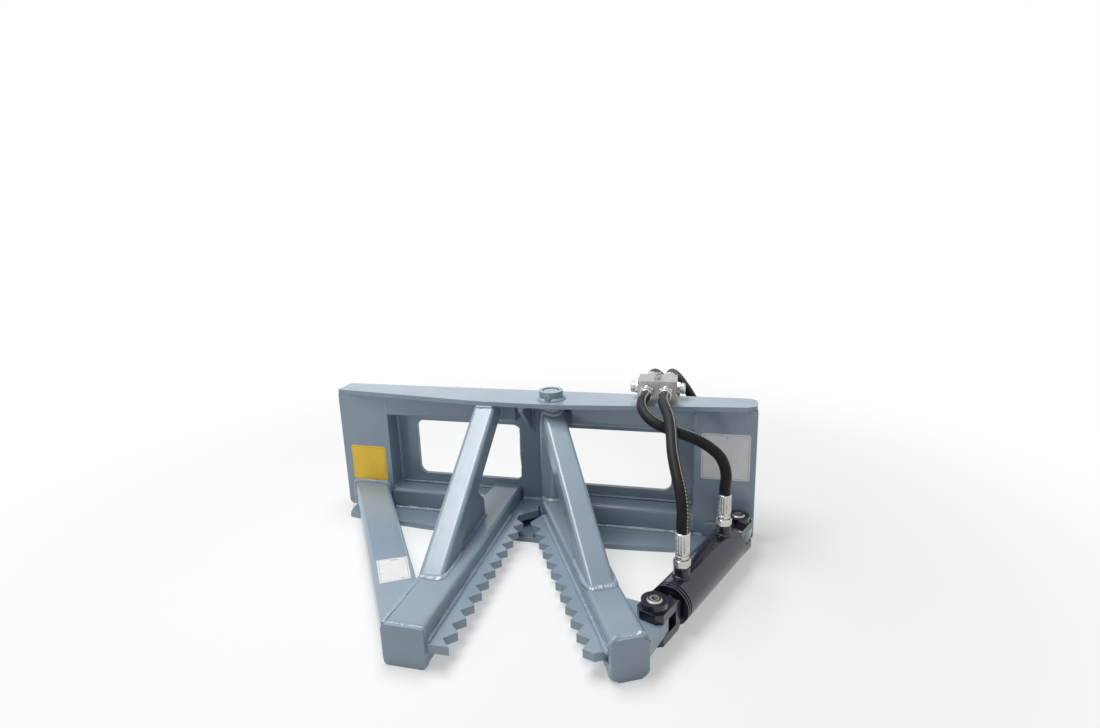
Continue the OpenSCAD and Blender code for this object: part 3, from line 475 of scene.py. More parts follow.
def paint_material(name, weld=False):
    """Gloss blue-grey paint with spray ripples, soft edges with a painted highlight, and specks. On the welds it
    is glossier and lighter, as a painted highlight.
    """
    paint = settings("paint")
    colour = Vector(paint.colour)
    material, tree, shader = new_material(name, IOR=1.5, Coat_Weight=0.3, Coat_Roughness=0.08)
    # The welds are glossier and have no specks; their lighter colour is a painted highlight on the beads.
    weld_highlight_lift, gloss, specks = (1.14, 0.7, 0.0) if weld else (1.0, 1.0, 0.55)
    edge_light_share, ripple_scale, sag_scale = 0.6, 260.0, 34.0
    mottle = use_group(tree, "Mottled colour", {
        "Colour": colour * 1.05 * weld_highlight_lift, "Second": colour * 0.93 * weld_highlight_lift, "Speck": colour * 0.25,
        "Specks": specks})
    shade, soft = mottle.outputs["Colour"], None
    if not weld:
        edges = use_group(tree, "Edge softening", {"Radius": paint.edge_radius})
        soft = edges.outputs["Normal"]
        # Painted highlight: the paint is lighter along every edge.
        painted_edge_light = maths(tree, "MULTIPLY", edges.outputs["Edge"], edge_light_share)
        shade = mixed(tree, painted_edge_light, shade, colour * 1.8)
    place = object_place(tree)
    rough = ranged(tree, mottle.outputs["Drift"], paint.roughness * 0.85 * gloss,
                   paint.roughness * 1.2 * gloss)
    ripples = bumped(tree, noise_value(tree, place, ripple_scale), paint.peel_height, 0.9, soft)
    waves = bumped(tree, noise_value(tree, place, sag_scale), 6 * paint.peel_height, 0.35, ripples)
    finish_shader(tree, shader, shade, rough, waves)
    return material


def grained_material(name, mottle, grain, relief, strength, edge=None, edge_highlight=None, **shader_values):
    """A finish with drifting colour and machined grain, and with soft edges and a painted highlight along them
    where it has these.
    """
    material, tree, shader = new_material(name, **shader_values)
    colour = use_group(tree, "Mottled colour", mottle).outputs["Colour"]
    marks = use_group(tree, "Machined grain", grain)
    soft = None
    if edge:
        edges = use_group(tree, "Edge softening", {"Radius": edge})
        soft = edges.outputs["Normal"]
    if edge_highlight:
        share, highlight_colour = edge_highlight
        # Painted highlight: the colour turns lighter along the edges.
        colour = mixed(tree, maths(tree, "MULTIPLY", edges.outputs["Edge"], share), colour, highlight_colour)
    bump = bumped(tree, marks.outputs["Height"], relief, strength, soft)
    finish_shader(tree, shader, colour, marks.outputs["Roughness"], bump)
    return material


def black_material():
    """Satin black paint of the cylinder, with a painted highlight along its edges."""
    black = Vector(settings("metals").black)
    mottle = {"Colour": black * 1.25, "Second": black * 0.8, "Speck": (0.12, 0.12, 0.12),
              "Drift scale": 12.0, "Specks": 0.15}
    grain = {"Scale": 300.0, "Roughness": 0.24, "Spread": 0.08}
    return grained_material(
        "Black_paint", mottle, grain, 0.03 * MM, 0.4, edge=1.2 * MM, edge_highlight=(0.25, (0.07, 0.065, 0.085)),
        IOR=1.5, Coat_Weight=0.45, Coat_Roughness=0.10, Specular_Tint=(0.86, 0.82, 1.0))


def metal_material(name, colour, roughness, spread, scale, edge, stretch=(1.0, 1.0, 1.0)):
    """Bare or plated metal with its machining marks."""
    colour = Vector(colour)
    mottle = {"Colour": colour, "Second": colour * 0.8, "Speck": (0.05, 0.045, 0.04),
              "Drift scale": 45.0, "Specks": 0.25}
    grain = {"Stretch": stretch, "Scale": scale, "Roughness": roughness, "Spread": spread}
    return grained_material(name, mottle, grain, 0.05 * MM, 0.5, edge=edge, Metallic=1.0)


def guard_material():
    """Glossy black plastic of the spiral guard."""
    mottle = {"Colour": (0.022, 0.022, 0.023), "Second": (0.035, 0.035, 0.036),
              "Speck": (0.2, 0.19, 0.17), "Drift scale": 60.0, "Specks": 0.4}
    grain = {"Scale": 220.0, "Roughness": 0.34, "Spread": 0.3}
    return grained_material("Guard_plastic", mottle, grain, 0.1 * MM, 0.4, IOR=1.48)


def hose_material(name, lay_line):
    """Rubber cover with its woven print, and on some hoses a dotted lay line."""
    rubber = Vector(settings("hoses").colour)
    material, tree, shader = new_material(name, IOR=1.45, Specular_IOR_Level=0.24)
    spot = add(tree, "ShaderNodeUVMap", uv_map="hose").outputs[0]
    parts = add(tree, "ShaderNodeSeparateXYZ", {0: spot})
    around, along = parts.outputs["X"], parts.outputs["Y"]
    weave_rate, wrap_rate, wrap_lean, wrap_share = 3565.0, 260.0, 0.35, 0.8
    threads = []
    for operation in ("ADD", "SUBTRACT"):
        slant = maths(tree, operation, along, around)
        threads.append(maths(tree, "SINE", maths(tree, "MULTIPLY", slant, weave_rate)))
    weave = maths(tree, "MULTIPLY", *threads)
    lean = maths(tree, "ADD", along, maths(tree, "MULTIPLY", around, wrap_lean))
    wrap = maths(tree, "SINE", maths(tree, "MULTIPLY", lean, wrap_rate))
    height = maths(tree, "ADD", weave, maths(tree, "MULTIPLY", wrap, wrap_share))
    dust = noise_value(tree, object_place(tree), 40.0, 5.0)
    colour = mixed(tree, ranged(tree, dust, 0.0, 0.35, 0.5, 0.8), rubber, rubber * 2.4)
    if lay_line:
        line_at, half_width, dash_rate, dash_share = 10.0 * MM, 1.2 * MM, 175.0, 0.62
        offset = maths(tree, "ABSOLUTE", maths(tree, "SUBTRACT", around, line_at))
        in_line = maths(tree, "LESS_THAN", offset, half_width)
        dash = maths(tree, "FRACT", maths(tree, "MULTIPLY", along, dash_rate))
        dot = maths(tree, "MULTIPLY", in_line, maths(tree, "LESS_THAN", dash, dash_share))
        colour = mixed(tree, maths(tree, "MULTIPLY", dot, 0.9), colour, (0.72, 0.70, 0.62))
    finish_shader(tree, shader, colour, ranged(tree, dust, 0.30, 0.50),
                  bumped(tree, height, 0.12 * MM, 0.5))
    return material


def film_material(name, colour, line):
    """Printed film with a thin border line, and slight creases."""
    colour = Vector(colour)
    material, tree, shader = new_material(name, IOR=1.46, Coat_Weight=0.3, Coat_Roughness=0.15)
    mottle = use_group(tree, "Mottled colour", {
        "Colour": colour, "Second": colour * 0.93, "Speck": colour * 0.4, "Drift scale": 30.0,
        "Specks": 0.35})
    spot = add(tree, "ShaderNodeUVMap", uv_map="film").outputs[0]
    parts = add(tree, "ShaderNodeSeparateXYZ", {0: spot})
    rim = maths(tree, "MINIMUM", parts.outputs["X"], parts.outputs["Y"])
    border_starts, border_ends = 3.0 * MM, 4.2 * MM
    border = maths(tree, "MULTIPLY", maths(tree, "GREATER_THAN", rim, border_starts),
                   maths(tree, "LESS_THAN", rim, border_ends))
    crease = noise_value(tree, object_place(tree), 55.0, 3.0)
    finish_shader(tree, shader, mixed(tree, border, mottle.outputs["Colour"], line),
                  ranged(tree, crease, 0.25, 0.5), bumped(tree, crease, 0.5 * MM, 0.3))
    return material


def finish_nodes(slot, material):
    """Gives the material to every solid of one of the record's material slots."""
    for name, node in frame["nodes"].items():
        if SLOT_OF.get(name) == slot:
            node.data.materials.clear()
            node.data.materials.append(material)


# Mesh helpers

def finished_mesh(name, bm):
    """The mesh of a bmesh, with its faces turned outwards."""
    bmesh.ops.recalc_face_normals(bm, faces=bm.faces)
    mesh = bpy.data.meshes.new(name)
    bm.to_mesh(mesh)
    bm.free()
    return mesh


def new_piece(name, bm, material, body):
    """An object with this shape and material, which rides on a body where it has one."""
    mesh = finished_mesh(name, bm)
    mesh.materials.append(material)
    piece = bpy.data.objects.new(name, mesh)
    bpy.context.scene.collection.objects.link(piece)
    if body:
        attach(piece, body)
    return piece


def skin(bm, rings, closed=False, smooth=()):
    """Joins rings of vertices by faces and returns these.

    A closed skin joins the last ring to the first, and any other gets both its ends filled. The faces at
    the places around a ring that smooth holds are smooth.
    """
    pairs = list(zip(rings, rings[1:]))
    if closed:
        pairs.append((rings[-1], rings[0]))
    faces = []
    for low, high in pairs:
        for k in range(len(low)):
            after = (k + 1) % len(low)
            face = bm.faces.new((low[k], low[after], high[after], high[k]))
            face.smooth = k in smooth
            faces.append(face)
    if not closed:
        bm.faces.new(rings[0][::-1])
        bm.faces.new(rings[-1])
    return faces


def corner_of(node, x=0, y=0, z=0):
    """A corner of a solid's box: each of x, y and z is 0 for its low side or 1 for its high side."""
    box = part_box(node)
    return Vector((box[x].x, box[y].y, box[z].z))


def top_centre(node):
    """The middle of the top of a solid's box."""
    low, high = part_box(node)
    centre = (low + high) / 2
    return Vector((centre.x, centre.y, high.z))


def rounded_outline(w, h, r, step=BEAD_STEP):
    """Points and outward ways around a rounded rectangle, from the middle of its lower side."""
    corners = [(w / 2 - r, r - h / 2, -90), (w / 2 - r, h / 2 - r, 0), (r - w / 2, h / 2 - r, 90),
               (r - w / 2, r - h / 2, 180)]
    knots = [((0.0, -h / 2), (0.0, -1.0))]
    for cx, cy, start in corners:
        turns = max(4, round(math.pi / 2 * r / step))
        for i in range(turns + 1):
            angle = math.radians(start + 90 * i / turns)
            way = (math.cos(angle), math.sin(angle))
            knots.append(((cx + r * way[0], cy + r * way[1]), way))
    knots.append(knots[0])
    outline = []
    for ((x0, y0), way0), ((x1, y1), way1) in zip(knots, knots[1:]):
        count = max(1, round(math.dist((x0, y0), (x1, y1)) / step))
        for i in range(count):
            t = i / count
            outline.append((x0 + (x1 - x0) * t, y0 + (y1 - y0) * t,
                            way0[0] + (way1[0] - way0[0]) * t, way0[1] + (way1[1] - way0[1]) * t))
    return outline


def between(before, a, b, after, share):
    """A point on the smooth curve from a to b, which bends as the points around them ask."""
    knots = [0.0]
    for p, q in ((before, a), (a, b), (b, after)):
        knots.append(knots[-1] + math.sqrt((q - p).length))
    t = knots[1] + (knots[2] - knots[1]) * share

    def at(p, q, k0, k1):
        return p.lerp(q, (t - knots[k0]) / (knots[k1] - knots[k0]))

    first, second, third = at(before, a, 0, 1), at(a, b, 1, 2), at(b, after, 2, 3)
    return at(at(first, second, 0, 2), at(second, third, 1, 3), 1, 2)


def smooth_route(points, step):
    """Points about a step apart, in metres, on the smooth curve through points in millimetres."""
    route = [Vector(p) * MM for p in points]
    ends = [2 * route[0] - route[1], *route, 2 * route[-1] - route[-2]]
    dense = [route[0]]
    for before, a, b, after in zip(ends, ends[1:], ends[2:], ends[3:]):
        pieces = max(2, round((b - a).length / step))
        dense += [between(before, a, b, after, i / pieces) for i in range(1, pieces + 1)]
    return dense


def turned_frames(path, side):
    """For each point of a path its direction and two directions across it that don't twist."""
    frames = []
    across = Vector(side)
    for i, point in enumerate(path):
        ahead = (path[min(i + 1, len(path) - 1)] - path[max(i - 1, 0)]).normalized()
        across = (across - ahead * across.dot(ahead)).normalized()
        frames.append((point, ahead, across, ahead.cross(across)))
    return frames


def tube_shape(path, radius, side, sides=24):
    """A round hose along a path, with its ends closed and a map of its length and girth."""
    bm = bmesh.new()
    uv = bm.loops.layers.uv.new("hose")
    angles = [math.tau * k / sides for k in range(sides)]
    rings = []
    for point, _, u, v in turned_frames(path, side):
        rings.append([bm.verts.new(point + radius * (math.cos(a) * u + math.sin(a) * v)) for a in angles])
    faces = skin(bm, rings, smooth=range(sides))
    girth = math.tau * radius / sides
    run = 0.0
    for i, (here, there) in enumerate(zip(path, path[1:])):
        step = (there - here).length
        for k, face in enumerate(faces[i * sides:(i + 1) * sides]):
            places = ((k, 0), (k + 1, 0), (k + 1, step), (k, step))
            for loop, (turn, rise) in zip(face.loops, places):
                loop[uv].uv = (turn * girth, run + rise)
        run += step
    return bm


# Weld beads

def fillet(root, out, up, leg, leg_b=None, outward=None):
    """A sample of a bead: its root, the two ways that its legs run, its outward way, and the legs."""
    return root, out, up, outward or (out + up).normalized(), leg, leg_b or leg


class WeldMesh:
    """Collects rippled weld beads into one mesh."""

    def __init__(self, seed):
        self.seed = seed
        self.bm = bmesh.new()
        self.look = settings("welds")

    def bead(self, samples, closed=False):
        """One bead along its samples, which fillet makes."""
        run = [0.0]
        for a, b in zip(samples, samples[1:]):
            run.append(run[-1] + (b[0] - a[0]).length)
        whole = max(run[-1], 1 * MM)
        pitch = whole / max(1, round(whole / self.look.pitch))
        rings = []
        for sample, s in zip(samples, run):
            ends = 1.0 if closed else min(1.0, START_SHARE + min(s, whole - s) / BEAD_TAPER)
            rings.append([self.bm.verts.new(place) for place in self.section(sample, s, pitch, ends)])
        self.seed += SEED_STEP
        skin(self.bm, rings, closed, smooth=range(len(rings[0])))

    def section(self, sample, s, pitch, ends):
        """The places around a bead's section, at a distance s along it."""
        root, a, b, outward, leg_a, leg_b = sample
        wander = noise.noise(Vector((s * WANDER_RATE, self.seed, 0.5)))
        lump = noise.noise(Vector((s * LUMP_RATE, self.seed, 9.5)))
        grow = ends * (1 + 0.30 * wander + 0.16 * lump)
        places = []
        for share in BEAD_SHARES:
            crown = math.sin(math.pi * share)
            phase = (s / pitch - BOW_SHARE * crown + 0.25 * lump) % 1.0
            ripple = self.look.ripple * (1 - phase ** 1.6) * crown ** 0.6
            spatter = noise.noise(Vector((s * SPATTER_RATE, share * 4 + self.seed, 3.5)))
            ripple += SPATTER_HEIGHT * spatter * crown
            height = CROWN_SHARE * (leg_a + leg_b) * 0.5 * crown + ripple * ends - TOES_SUNK
            places.append(
                root + a * leg_a * (1 - share) * grow + b * leg_b * share * grow + outward * height)
        places.append(root - outward * ROOT_SUNK)
        for place in places:
            place.z = max(place.z, GROUND_FLUSH)
        return places

    def line(self, start, end, a, b, leg=None, leg_b=None, outward=None):
        """A straight bead in the corner between two faces that run away from it along a and b."""
        start, end = Vector(start), Vector(end)
        a, b = a.normalized(), b.normalized()
        count = max(3, round((end - start).length / BEAD_STEP))
        self.bead([
            fillet(start.lerp(end, i / count), a, b, leg or self.look.leg, leg_b, outward)
            for i in range(count + 1)])

    def stitches(self, start, end, a, b):
        """A row of short straight beads."""
        start, end = Vector(start), Vector(end)
        whole = (end - start).length
        way = (end - start).normalized()
        count = max(1, round((whole + STITCH_GAP) / (STITCH_L + STITCH_GAP)))
        pitch = (whole - STITCH_L) / max(1, count - 1)
        for i in range(count):
            at = start + way * pitch * i
            self.line(at, at + way * STITCH_L, a, b)

    def seam(self, start, end, across, outward, half):
        """A straight flat bead over a joint between two faces that lie in one plane."""
        self.line(start, end, across, -across, half, half, outward)


def make_welds(name, seed, material, body, parts):
    """One mesh of weld beads, which the functions in parts lay one after the other."""
    welds = WeldMesh(seed)
    for part in parts:
        part(welds)
    new_piece(name, welds.bm, material, body)


def flat_sides(node):
    """The heights of a flat solid's top and underside, each with the way that leads off it."""
    low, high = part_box(node)
    return (high.z, Z), (low.z, -Z)


def circle_samples(centre, radius, u, v, up, leg, start=0, sweep=360):
    """Samples of a bead around a round piece that stands on a flat face."""
    count = max(12, round(math.radians(abs(sweep)) * radius / BEAD_STEP))
    last = count if abs(sweep) >= 360 else count + 1
    samples = []
    for i in range(last):
        angle = math.radians(start + sweep * i / count)
        out = math.cos(angle) * u + math.sin(angle) * v
        samples.append(fillet(centre + radius * out, out, up, leg))
    return samples


def foot_samples(centre, side, ahead, axis, slope):
    """Samples around the foot of a sloping square tube that stands on a flat face."""
    stretch = 1 / math.sin(slope)
    samples = []
    for u, v, nu, nv in rounded_outline(BRACE_SIDE, BRACE_SIDE, TUBE_CORNER):
        out = (side * nu - ahead * nv * math.sin(slope)).normalized()
        samples.append(fillet(centre + side * u - ahead * v * stretch, out, axis, BRACE_LEG))
    return samples


def weld_cross_tubes(welds):
    """The cross tubes on the plates, the back plate and the side boxes."""
    brace_low, brace_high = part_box("fixed_brace")
    ends = (("left", X, corner_of("left_side_box", x=1).x), ("right", -X, corner_of("right_side_box").x))
    for side, inner, x_box in ends:
        upper_low, upper_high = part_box("upper_cross_tube_" + side)
        lower_low, lower_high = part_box("lower_cross_tube_" + side)
        back = lower_high.y
        runs = [(upper_low.x, upper_high.x)]
        if side == "left":
            runs = [(upper_low.x, brace_low.x), (brace_high.x, upper_high.x)]
        for x0, x1 in runs:
            welds.line((x0, 0, DECK), (x1, 0, DECK), -Y, -Z)
        x0, x1 = lower_low.x, lower_high.x
        welds.line((x0, 0, FLOOR_TOP), (x1, 0, FLOOR_TOP), -Y, Z)
        welds.line((x0, back, lower_high.z), (x1, back, lower_high.z), -Y, Z, SMALL_LEG)
        welds.line((upper_low.x, back, upper_low.z), (upper_high.x, back, upper_low.z), -Y, -Z, SMALL_LEG)
        for z, way in ((lower_high.z, Z), (upper_low.z, -Z)):
            welds.line((x_box, END_GAP, z), (x_box, back - END_GAP, z), inner, way, SMALL_LEG)
        welds.line((x_box, back, lower_high.z), (x_box, back, upper_low.z), inner, -Y)
        welds.seam((x_box, 0, FLOOR_TOP + TUBE_CORNER), (x_box, 0, lower_high.z - END_GAP), X, -Y, THIN_LEG)
        welds.seam((x_box, 0, upper_low.z + END_GAP), (x_box, 0, DECK - TUBE_CORNER), X, -Y, THIN_LEG)


def weld_side_boxes(welds):
    """The side boxes on the plates and the back plate, and the base lug on the right one."""
    plate_end = corner_of("bottom_plate", x=1).x
    left_edge = corner_of("left_side_box", x=1).x
    box_low, box_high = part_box("right_side_box")
    boss_low, boss_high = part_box("round_boss")
    for x0, x1 in ((box_low.x, boss_low.x), (boss_high.x, plate_end)):
        welds.line((x0, 0, FLOOR_TOP), (x1, 0, FLOOR_TOP), -Y, Z, SMALL_LEG)
    for x0, x1 in ((box_low.x, plate_end), (left_edge - LEFT_DECK_BEAD, left_edge)):
        welds.line((x0, 0, DECK), (x1, 0, DECK), -Y, -Z, THIN_LEG)
    for side in (-1, 1):
        x = side * box_high.x
        welds.seam((x, box_high.y, box_low.z + BOX_SEAM_FOOT), (x, box_high.y, DECK - SHORT_GAP), Y, X * side,
                   THIN_LEG)
    lug_low, lug_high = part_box("cylinder_base_lug")
    for z, way in flat_sides("cylinder_base_lug"):
        welds.line((lug_low.x, 0, z), (lug_high.x, 0, z), -Y, way, SMALL_LEG)


def weld_post(welds):
    """The centre post and its gusset."""
    low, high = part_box("centre_post")
    gusset_low, gusset_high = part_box("post_gusset")
    welds.line(low, (high.x, low.y, low.z), -Y, Z, WIDE_LEG)
    welds.line((low.x, high.y, TUBE_TOP), (low.x, high.y, DECK), -X, -Y, JOINT_LEG)
    welds.line((high.x, high.y, low.z), (high.x, high.y, DECK), X, -Y, JOINT_LEG)
    for x, way in ((gusset_low.x, -X), (gusset_high.x, X)):
        welds.line((x, low.y, gusset_low.z), (x, low.y, DECK), way, -Y, SMALL_LEG)
        welds.line((x, gusset_low.y, DECK), (x, low.y, DECK), way, -Z, SMALL_LEG)


def weld_rear(welds):
    """The hook lip under its slope, and the back plate on the bottom plate."""
    rear = corner_of("back_plate", y=1).y
    lip_low, lip_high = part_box("hook_lip")
    root = lip_high.z - math.sqrt(2) * LIP_THICKNESS
    welds.stitches((lip_low.x, rear, root), (lip_high.x, rear, root), -Z, (Y - Z).normalized())
    plate_low, plate_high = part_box("bottom_plate")
    welds.stitches((plate_low.x, rear, plate_high.z), (plate_high.x, rear, plate_high.z), Y, Z)


def weld_collar(welds):
    """The collar on the top plate."""
    low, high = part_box("pivot_collar")
    radius = (high.x - low.x) / 2
    centre = Vector((PIVOT.x, PIVOT.y, low.z))
    welds.bead(circle_samples(centre, radius, X, Y, Z, COLLAR_LEG), closed=True)


def weld_inner_tube(welds):
    """The fixed inner tube on the frame, and its cap and blade on it."""
    plate_front = corner_of("bottom_plate").y
    low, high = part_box("fixed_inner_tube")
    for x, way in ((low.x, -X), (high.x, X)):
        welds.line((x, plate_front + END_GAP, FLOOR_TOP), (x, -SHORT_GAP, FLOOR_TOP), way, Z)
    welds.line((low.x, SHORT_GAP, TUBE_TOP), (low.x, high.y - END_GAP, TUBE_TOP), -X, Z, SMALL_LEG)
    welds.line((low.x, 0, FLOOR_TOP), (low.x, 0, TUBE_TOP - END_GAP), -X, -Y)

    size = high.x - low.x
    middle = (low.x + high.x) / 2
    cap = []
    for u, v, nu, nv in rounded_outline(size, size, TUBE_CORNER):
        root = Vector((middle + u, low.y, high.z / 2 + v))
        cap.append(fillet(root, Y, -Y, CAP_LEG, outward=Vector((nu, 0, nv))))
    welds.bead(cap, closed=True)

    blade_front = corner_of("fixed_blade").y + EDGE_GAP
    for z, way in flat_sides("fixed_blade"):
        welds.line((high.x, blade_front, z), (high.x, FIXED_BLADE_REAR, z), X, way)
    second = corner_of("fixed_blade", z=1).z + SECOND_PASS
    welds.seam((high.x, blade_front, second), (high.x, FIXED_BLADE_REAR, second), Z, X, SECOND_PASS_HALF)


def weld_outer_tube(welds):
    """The fixed outer tube on the frame and on the inner tube."""
    low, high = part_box("fixed_inner_tube")
    size, top = high.x - low.x, high.z
    ahead = Vector((math.sin(OUTER_TUBE_ANGLE), -math.cos(OUTER_TUBE_ANGLE), 0))
    flank = Vector((-math.cos(OUTER_TUBE_ANGLE), -math.sin(OUTER_TUBE_ANGLE), 0))
    stretch = 1 / math.cos(OUTER_TUBE_ANGLE)
    foot = []
    for u, v, nu, nv in rounded_outline(size, size, TUBE_CORNER):
        if v + size / 2 > FLOOR_TOP:
            root = Vector((OUTER_TUBE_FOOT_X + u * stretch, 0, v + size / 2))
            foot.append(fillet(root, Vector((nu, 0, nv)).normalized(), ahead, BRACE_LEG))
    welds.bead(foot)
    gap = low.x - OUTER_TUBE_FOOT_X
    half_foot = size / 2 * stretch
    near = (gap - half_foot) / math.tan(OUTER_TUBE_ANGLE)
    far = (gap + half_foot) / math.tan(OUTER_TUBE_ANGLE)
    welds.seam((low.x + SHORT_GAP, -near, top), (low.x + 1 * MM, -far + EDGE_GAP, top), X, Z, SMALL_LEG)
    welds.line((low.x, -near, TUBE_CORNER), (low.x, -near, top - TUBE_CORNER), Y, -ahead, WIDE_LEG)
    welds.line((low.x, -far, TUBE_CORNER), (low.x, -far, top - TUBE_CORNER), -ahead, -Y, SMALL_LEG,
               2 * MM, (flank - X).normalized())


def weld_fixed_brace(welds):
    """The fixed brace's foot and top, and the web under it."""
    top = FIXED_JAW_TOP
    brace_low, brace_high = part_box("fixed_brace")
    brace_x = (brace_low.x + brace_high.x) / 2
    slope = FIXED_BRACE_SLOPE
    axis = Vector((0, math.cos(slope), math.sin(slope)))
    half = BRACE_SIDE / 2 / math.sin(slope)
    foot = []
    centre = Vector((brace_x, half - FIXED_BRACE_FOOT, top))
    for root, out, up, _, leg, _ in foot_samples(centre, X, -Y, axis, slope):
        overhang = max(0.0, -out.x) ** 2
        out = out.lerp(-Z, 0.9 * overhang).normalized()
        root = root + X * 1.5 * MM * overhang
        foot.append(fillet(root, out, up, leg, outward=(out + up - X * overhang).normalized()))
    welds.bead(foot, closed=True)

    mid_z = top + (FIXED_BRACE_FOOT - half) * math.tan(slope)
    wall = []
    for u, v, nu, nv in rounded_outline(BRACE_SIDE, BRACE_SIDE, TUBE_CORNER):
        root = Vector((brace_x + u, 0, mid_z + v / math.cos(slope)))
        wall.append(fillet(root, Vector((nu, 0, nv)).normalized(), -axis, JOINT_LEG))
    half_way = len(wall) // 2
    welds.bead([s for s in wall[half_way:] + wall[:half_way] if s[0].z < DECK - EDGE_GAP])
    front = -FIXED_BRACE_FOOT + (DECK - top) / math.tan(slope)
    welds.line((brace_low.x + END_GAP, front, DECK), (brace_high.x - END_GAP, front, DECK),
               -Y, -axis, THIN_LEG, WIDE_LEG)

    web_low, web_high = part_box("fixed_brace_web")
    under_way = Vector((0, math.sin(slope), -math.cos(slope)))
    climb = (web_high.z - top) / math.sin(slope)
    for x, way in ((web_low.x, -X), (web_high.x, X)):
        start = Vector((x, web_low.y, top))
        welds.line(start, (x, web_high.y, top), way, Z, SMALL_LEG)
        welds.line(start, start + axis * climb, way, under_way, SMALL_LEG)


def jaw_way(n, s):
    """A direction on the moving jaw."""
    return Matrix.Rotation(JAW_ANGLE, 3, "Z") @ Vector((n, -s, 0))


def jaw(n, s, z):
    """A place on the moving jaw: n across it to the right, s ahead of the pivot, z above the floor."""
    return PIVOT.xy.to_3d() + jaw_way(n, s) + Z * z


def weld_moving_plates(welds):
    """The blade and the rod lug on the moving jaw's tube."""
    across = jaw_way(1, 0)
    half = MOVING_TUBE_W / 2
    for z, way in flat_sides("moving_blade"):
        welds.line(jaw(-half, MOVING_BLADE_REAR, z), jaw(-half, MOVING_BLADE_TIP, z), -across, way)
    second = corner_of("moving_blade", z=1).z + SECOND_PASS
    welds.seam(jaw(-half, SECOND_PASS_REAR, second), jaw(-half, MOVING_BLADE_TIP, second), Z, -across,
               SECOND_PASS_HALF)
    for z, way in flat_sides("rod_lug"):
        welds.line(jaw(half, ROD_LUG_REAR, z), jaw(half, ROD_LUG_FRONT, z), across, way, LUG_LEG)


def weld_moving_cap(welds):
    """The moving jaw's cap. The bead turns into a fillet at the cap's wide corners."""
    across, ahead = jaw_way(1, 0), jaw_way(0, 1)
    top = MOVING_JAW_TOP
    cap = []
    for u, v, nu, nv in rounded_outline(MOVING_TUBE_W, top, MOVING_CAP_CORNER):
        out = (across * nu + Z * nv).normalized()
        corner = abs(2 * nu * nv)
        back = (-ahead).lerp(out, corner).normalized()
        outward = out.lerp((out + ahead).normalized(), corner).normalized()
        leg = CAP_LEG + 1.8 * MM * corner
        cap.append(fillet(jaw(u, MOVING_CAP_ROOT, top / 2 + v), back, ahead, leg, outward=outward))
    welds.bead(cap, closed=True)


def weld_moving_brace(welds):
    """The moving brace on the jaw's tube and on the pivot tube."""
    across, ahead = jaw_way(1, 0), jaw_way(0, 1)
    top = MOVING_JAW_TOP
    slope = MOVING_BRACE_SLOPE
    axis = -ahead * math.cos(slope) + Z * math.sin(slope)
    upright = ahead * math.sin(slope) + Z * math.cos(slope)
    middle = MOVING_BRACE_FOOT - BRACE_SIDE / 2 / math.sin(slope)
    welds.bead(foot_samples(jaw(0, middle, top), across, ahead, axis, slope), closed=True)
    upper = []
    for u, v, nu, nv in rounded_outline(BRACE_SIDE, BRACE_SIDE, TUBE_CORNER):
        s = math.sqrt(PIVOT_TUBE_R ** 2 - u ** 2)
        along = (middle + v * math.sin(slope) - s) / math.cos(slope)
        root = jaw(u, s, top + v * math.cos(slope) + along * math.sin(slope))
        radial = (root - jaw(0, 0, root.z)).normalized()
        out = across * nu + upright * nv
        upper.append(fillet(root, (out - radial * out.dot(radial)).normalized(), -axis, JOINT_LEG))
    welds.bead(upper, closed=True)


def weld_pivot_tube(welds):
    """The pivot tube on the jaw's tube and on the blade."""
    across, ahead = jaw_way(1, 0), jaw_way(0, 1)
    top = MOVING_JAW_TOP
    blade_top = corner_of("moving_blade", z=1).z
    front = []
    for root, out, up, _, leg, _ in circle_samples(
            jaw(0, 0, top), PIVOT_TUBE_R, ahead, across, Z, BRACE_LEG, -88, 176):
        beside = max(0.0, abs(out.dot(across)) - 0.6) / 0.4
        out = (out - Z * 0.9 * beside).normalized()
        front.append(fillet(root, out, up, leg - 3 * MM * beside, leg))
    welds.bead(front)
    welds.bead(circle_samples(
        jaw(0, 0, blade_top), PIVOT_TUBE_R, -ahead, across, Z, SMALL_LEG, -70, 140))
    for side in (-1, 1):
        welds.line(jaw(side * PIVOT_TUBE_R, 0, PIVOT_SEAM_FOOT), jaw(side * PIVOT_TUBE_R, 0, top - END_GAP),
                   across * side, -ahead, THIN_LEG)


def on_cylinder(x, y, z):
    """A place on the cylinder: x from the base pin along it, y to the left of that, z up."""
    return BASE_PIN + CYLINDER_AXIS * x + Z.cross(CYLINDER_AXIS) * y + Z * z


def weld_clevis(welds):
    """The clevis on the closed end of the barrel."""
    left = Z.cross(CYLINDER_AXIS)
    samples = []
    for u, v, nu, nv in rounded_outline(CLEVIS_W, CLEVIS_FLAT_H, CLEVIS_CORNER):
        out = (left * nu + Z * nv).normalized()
        samples.append(fillet(on_cylinder(CLEVIS_L, u, v), out, -CYLINDER_AXIS, SMALL_LEG))
    welds.bead(samples, closed=True)


def weld_port_bosses(welds):
    """The port bosses on the barrel."""
    left = Z.cross(CYLINDER_AXIS)
    count = 76
    for port in PORTS_X:
        samples = []
        for i in range(count):
            angle = math.tau * i / count
            x = port + PORT_BOSS_R * math.cos(angle)
            y = PORT_BOSS_R * math.sin(angle)
            z = math.sqrt(BARREL_R ** 2 - y ** 2)
            up = (left * y + Z * z).normalized()
            out = CYLINDER_AXIS * math.cos(angle) + left * math.sin(angle)
            slide = (out - up * out.dot(up)).normalized()
            samples.append(fillet(on_cylinder(x, y, z), slide, Z, PORT_LEG))
        welds.bead(samples, closed=True)


def weld_rod_clevis(welds):
    """The rod on its clevis."""
    welds.bead(circle_samples(
        on_cylinder(ROD_CLEVIS_FACE, 0, 0), ROD_R, Z, Z.cross(CYLINDER_AXIS), -CYLINDER_AXIS, CAP_LEG),
        closed=True)


# Fittings

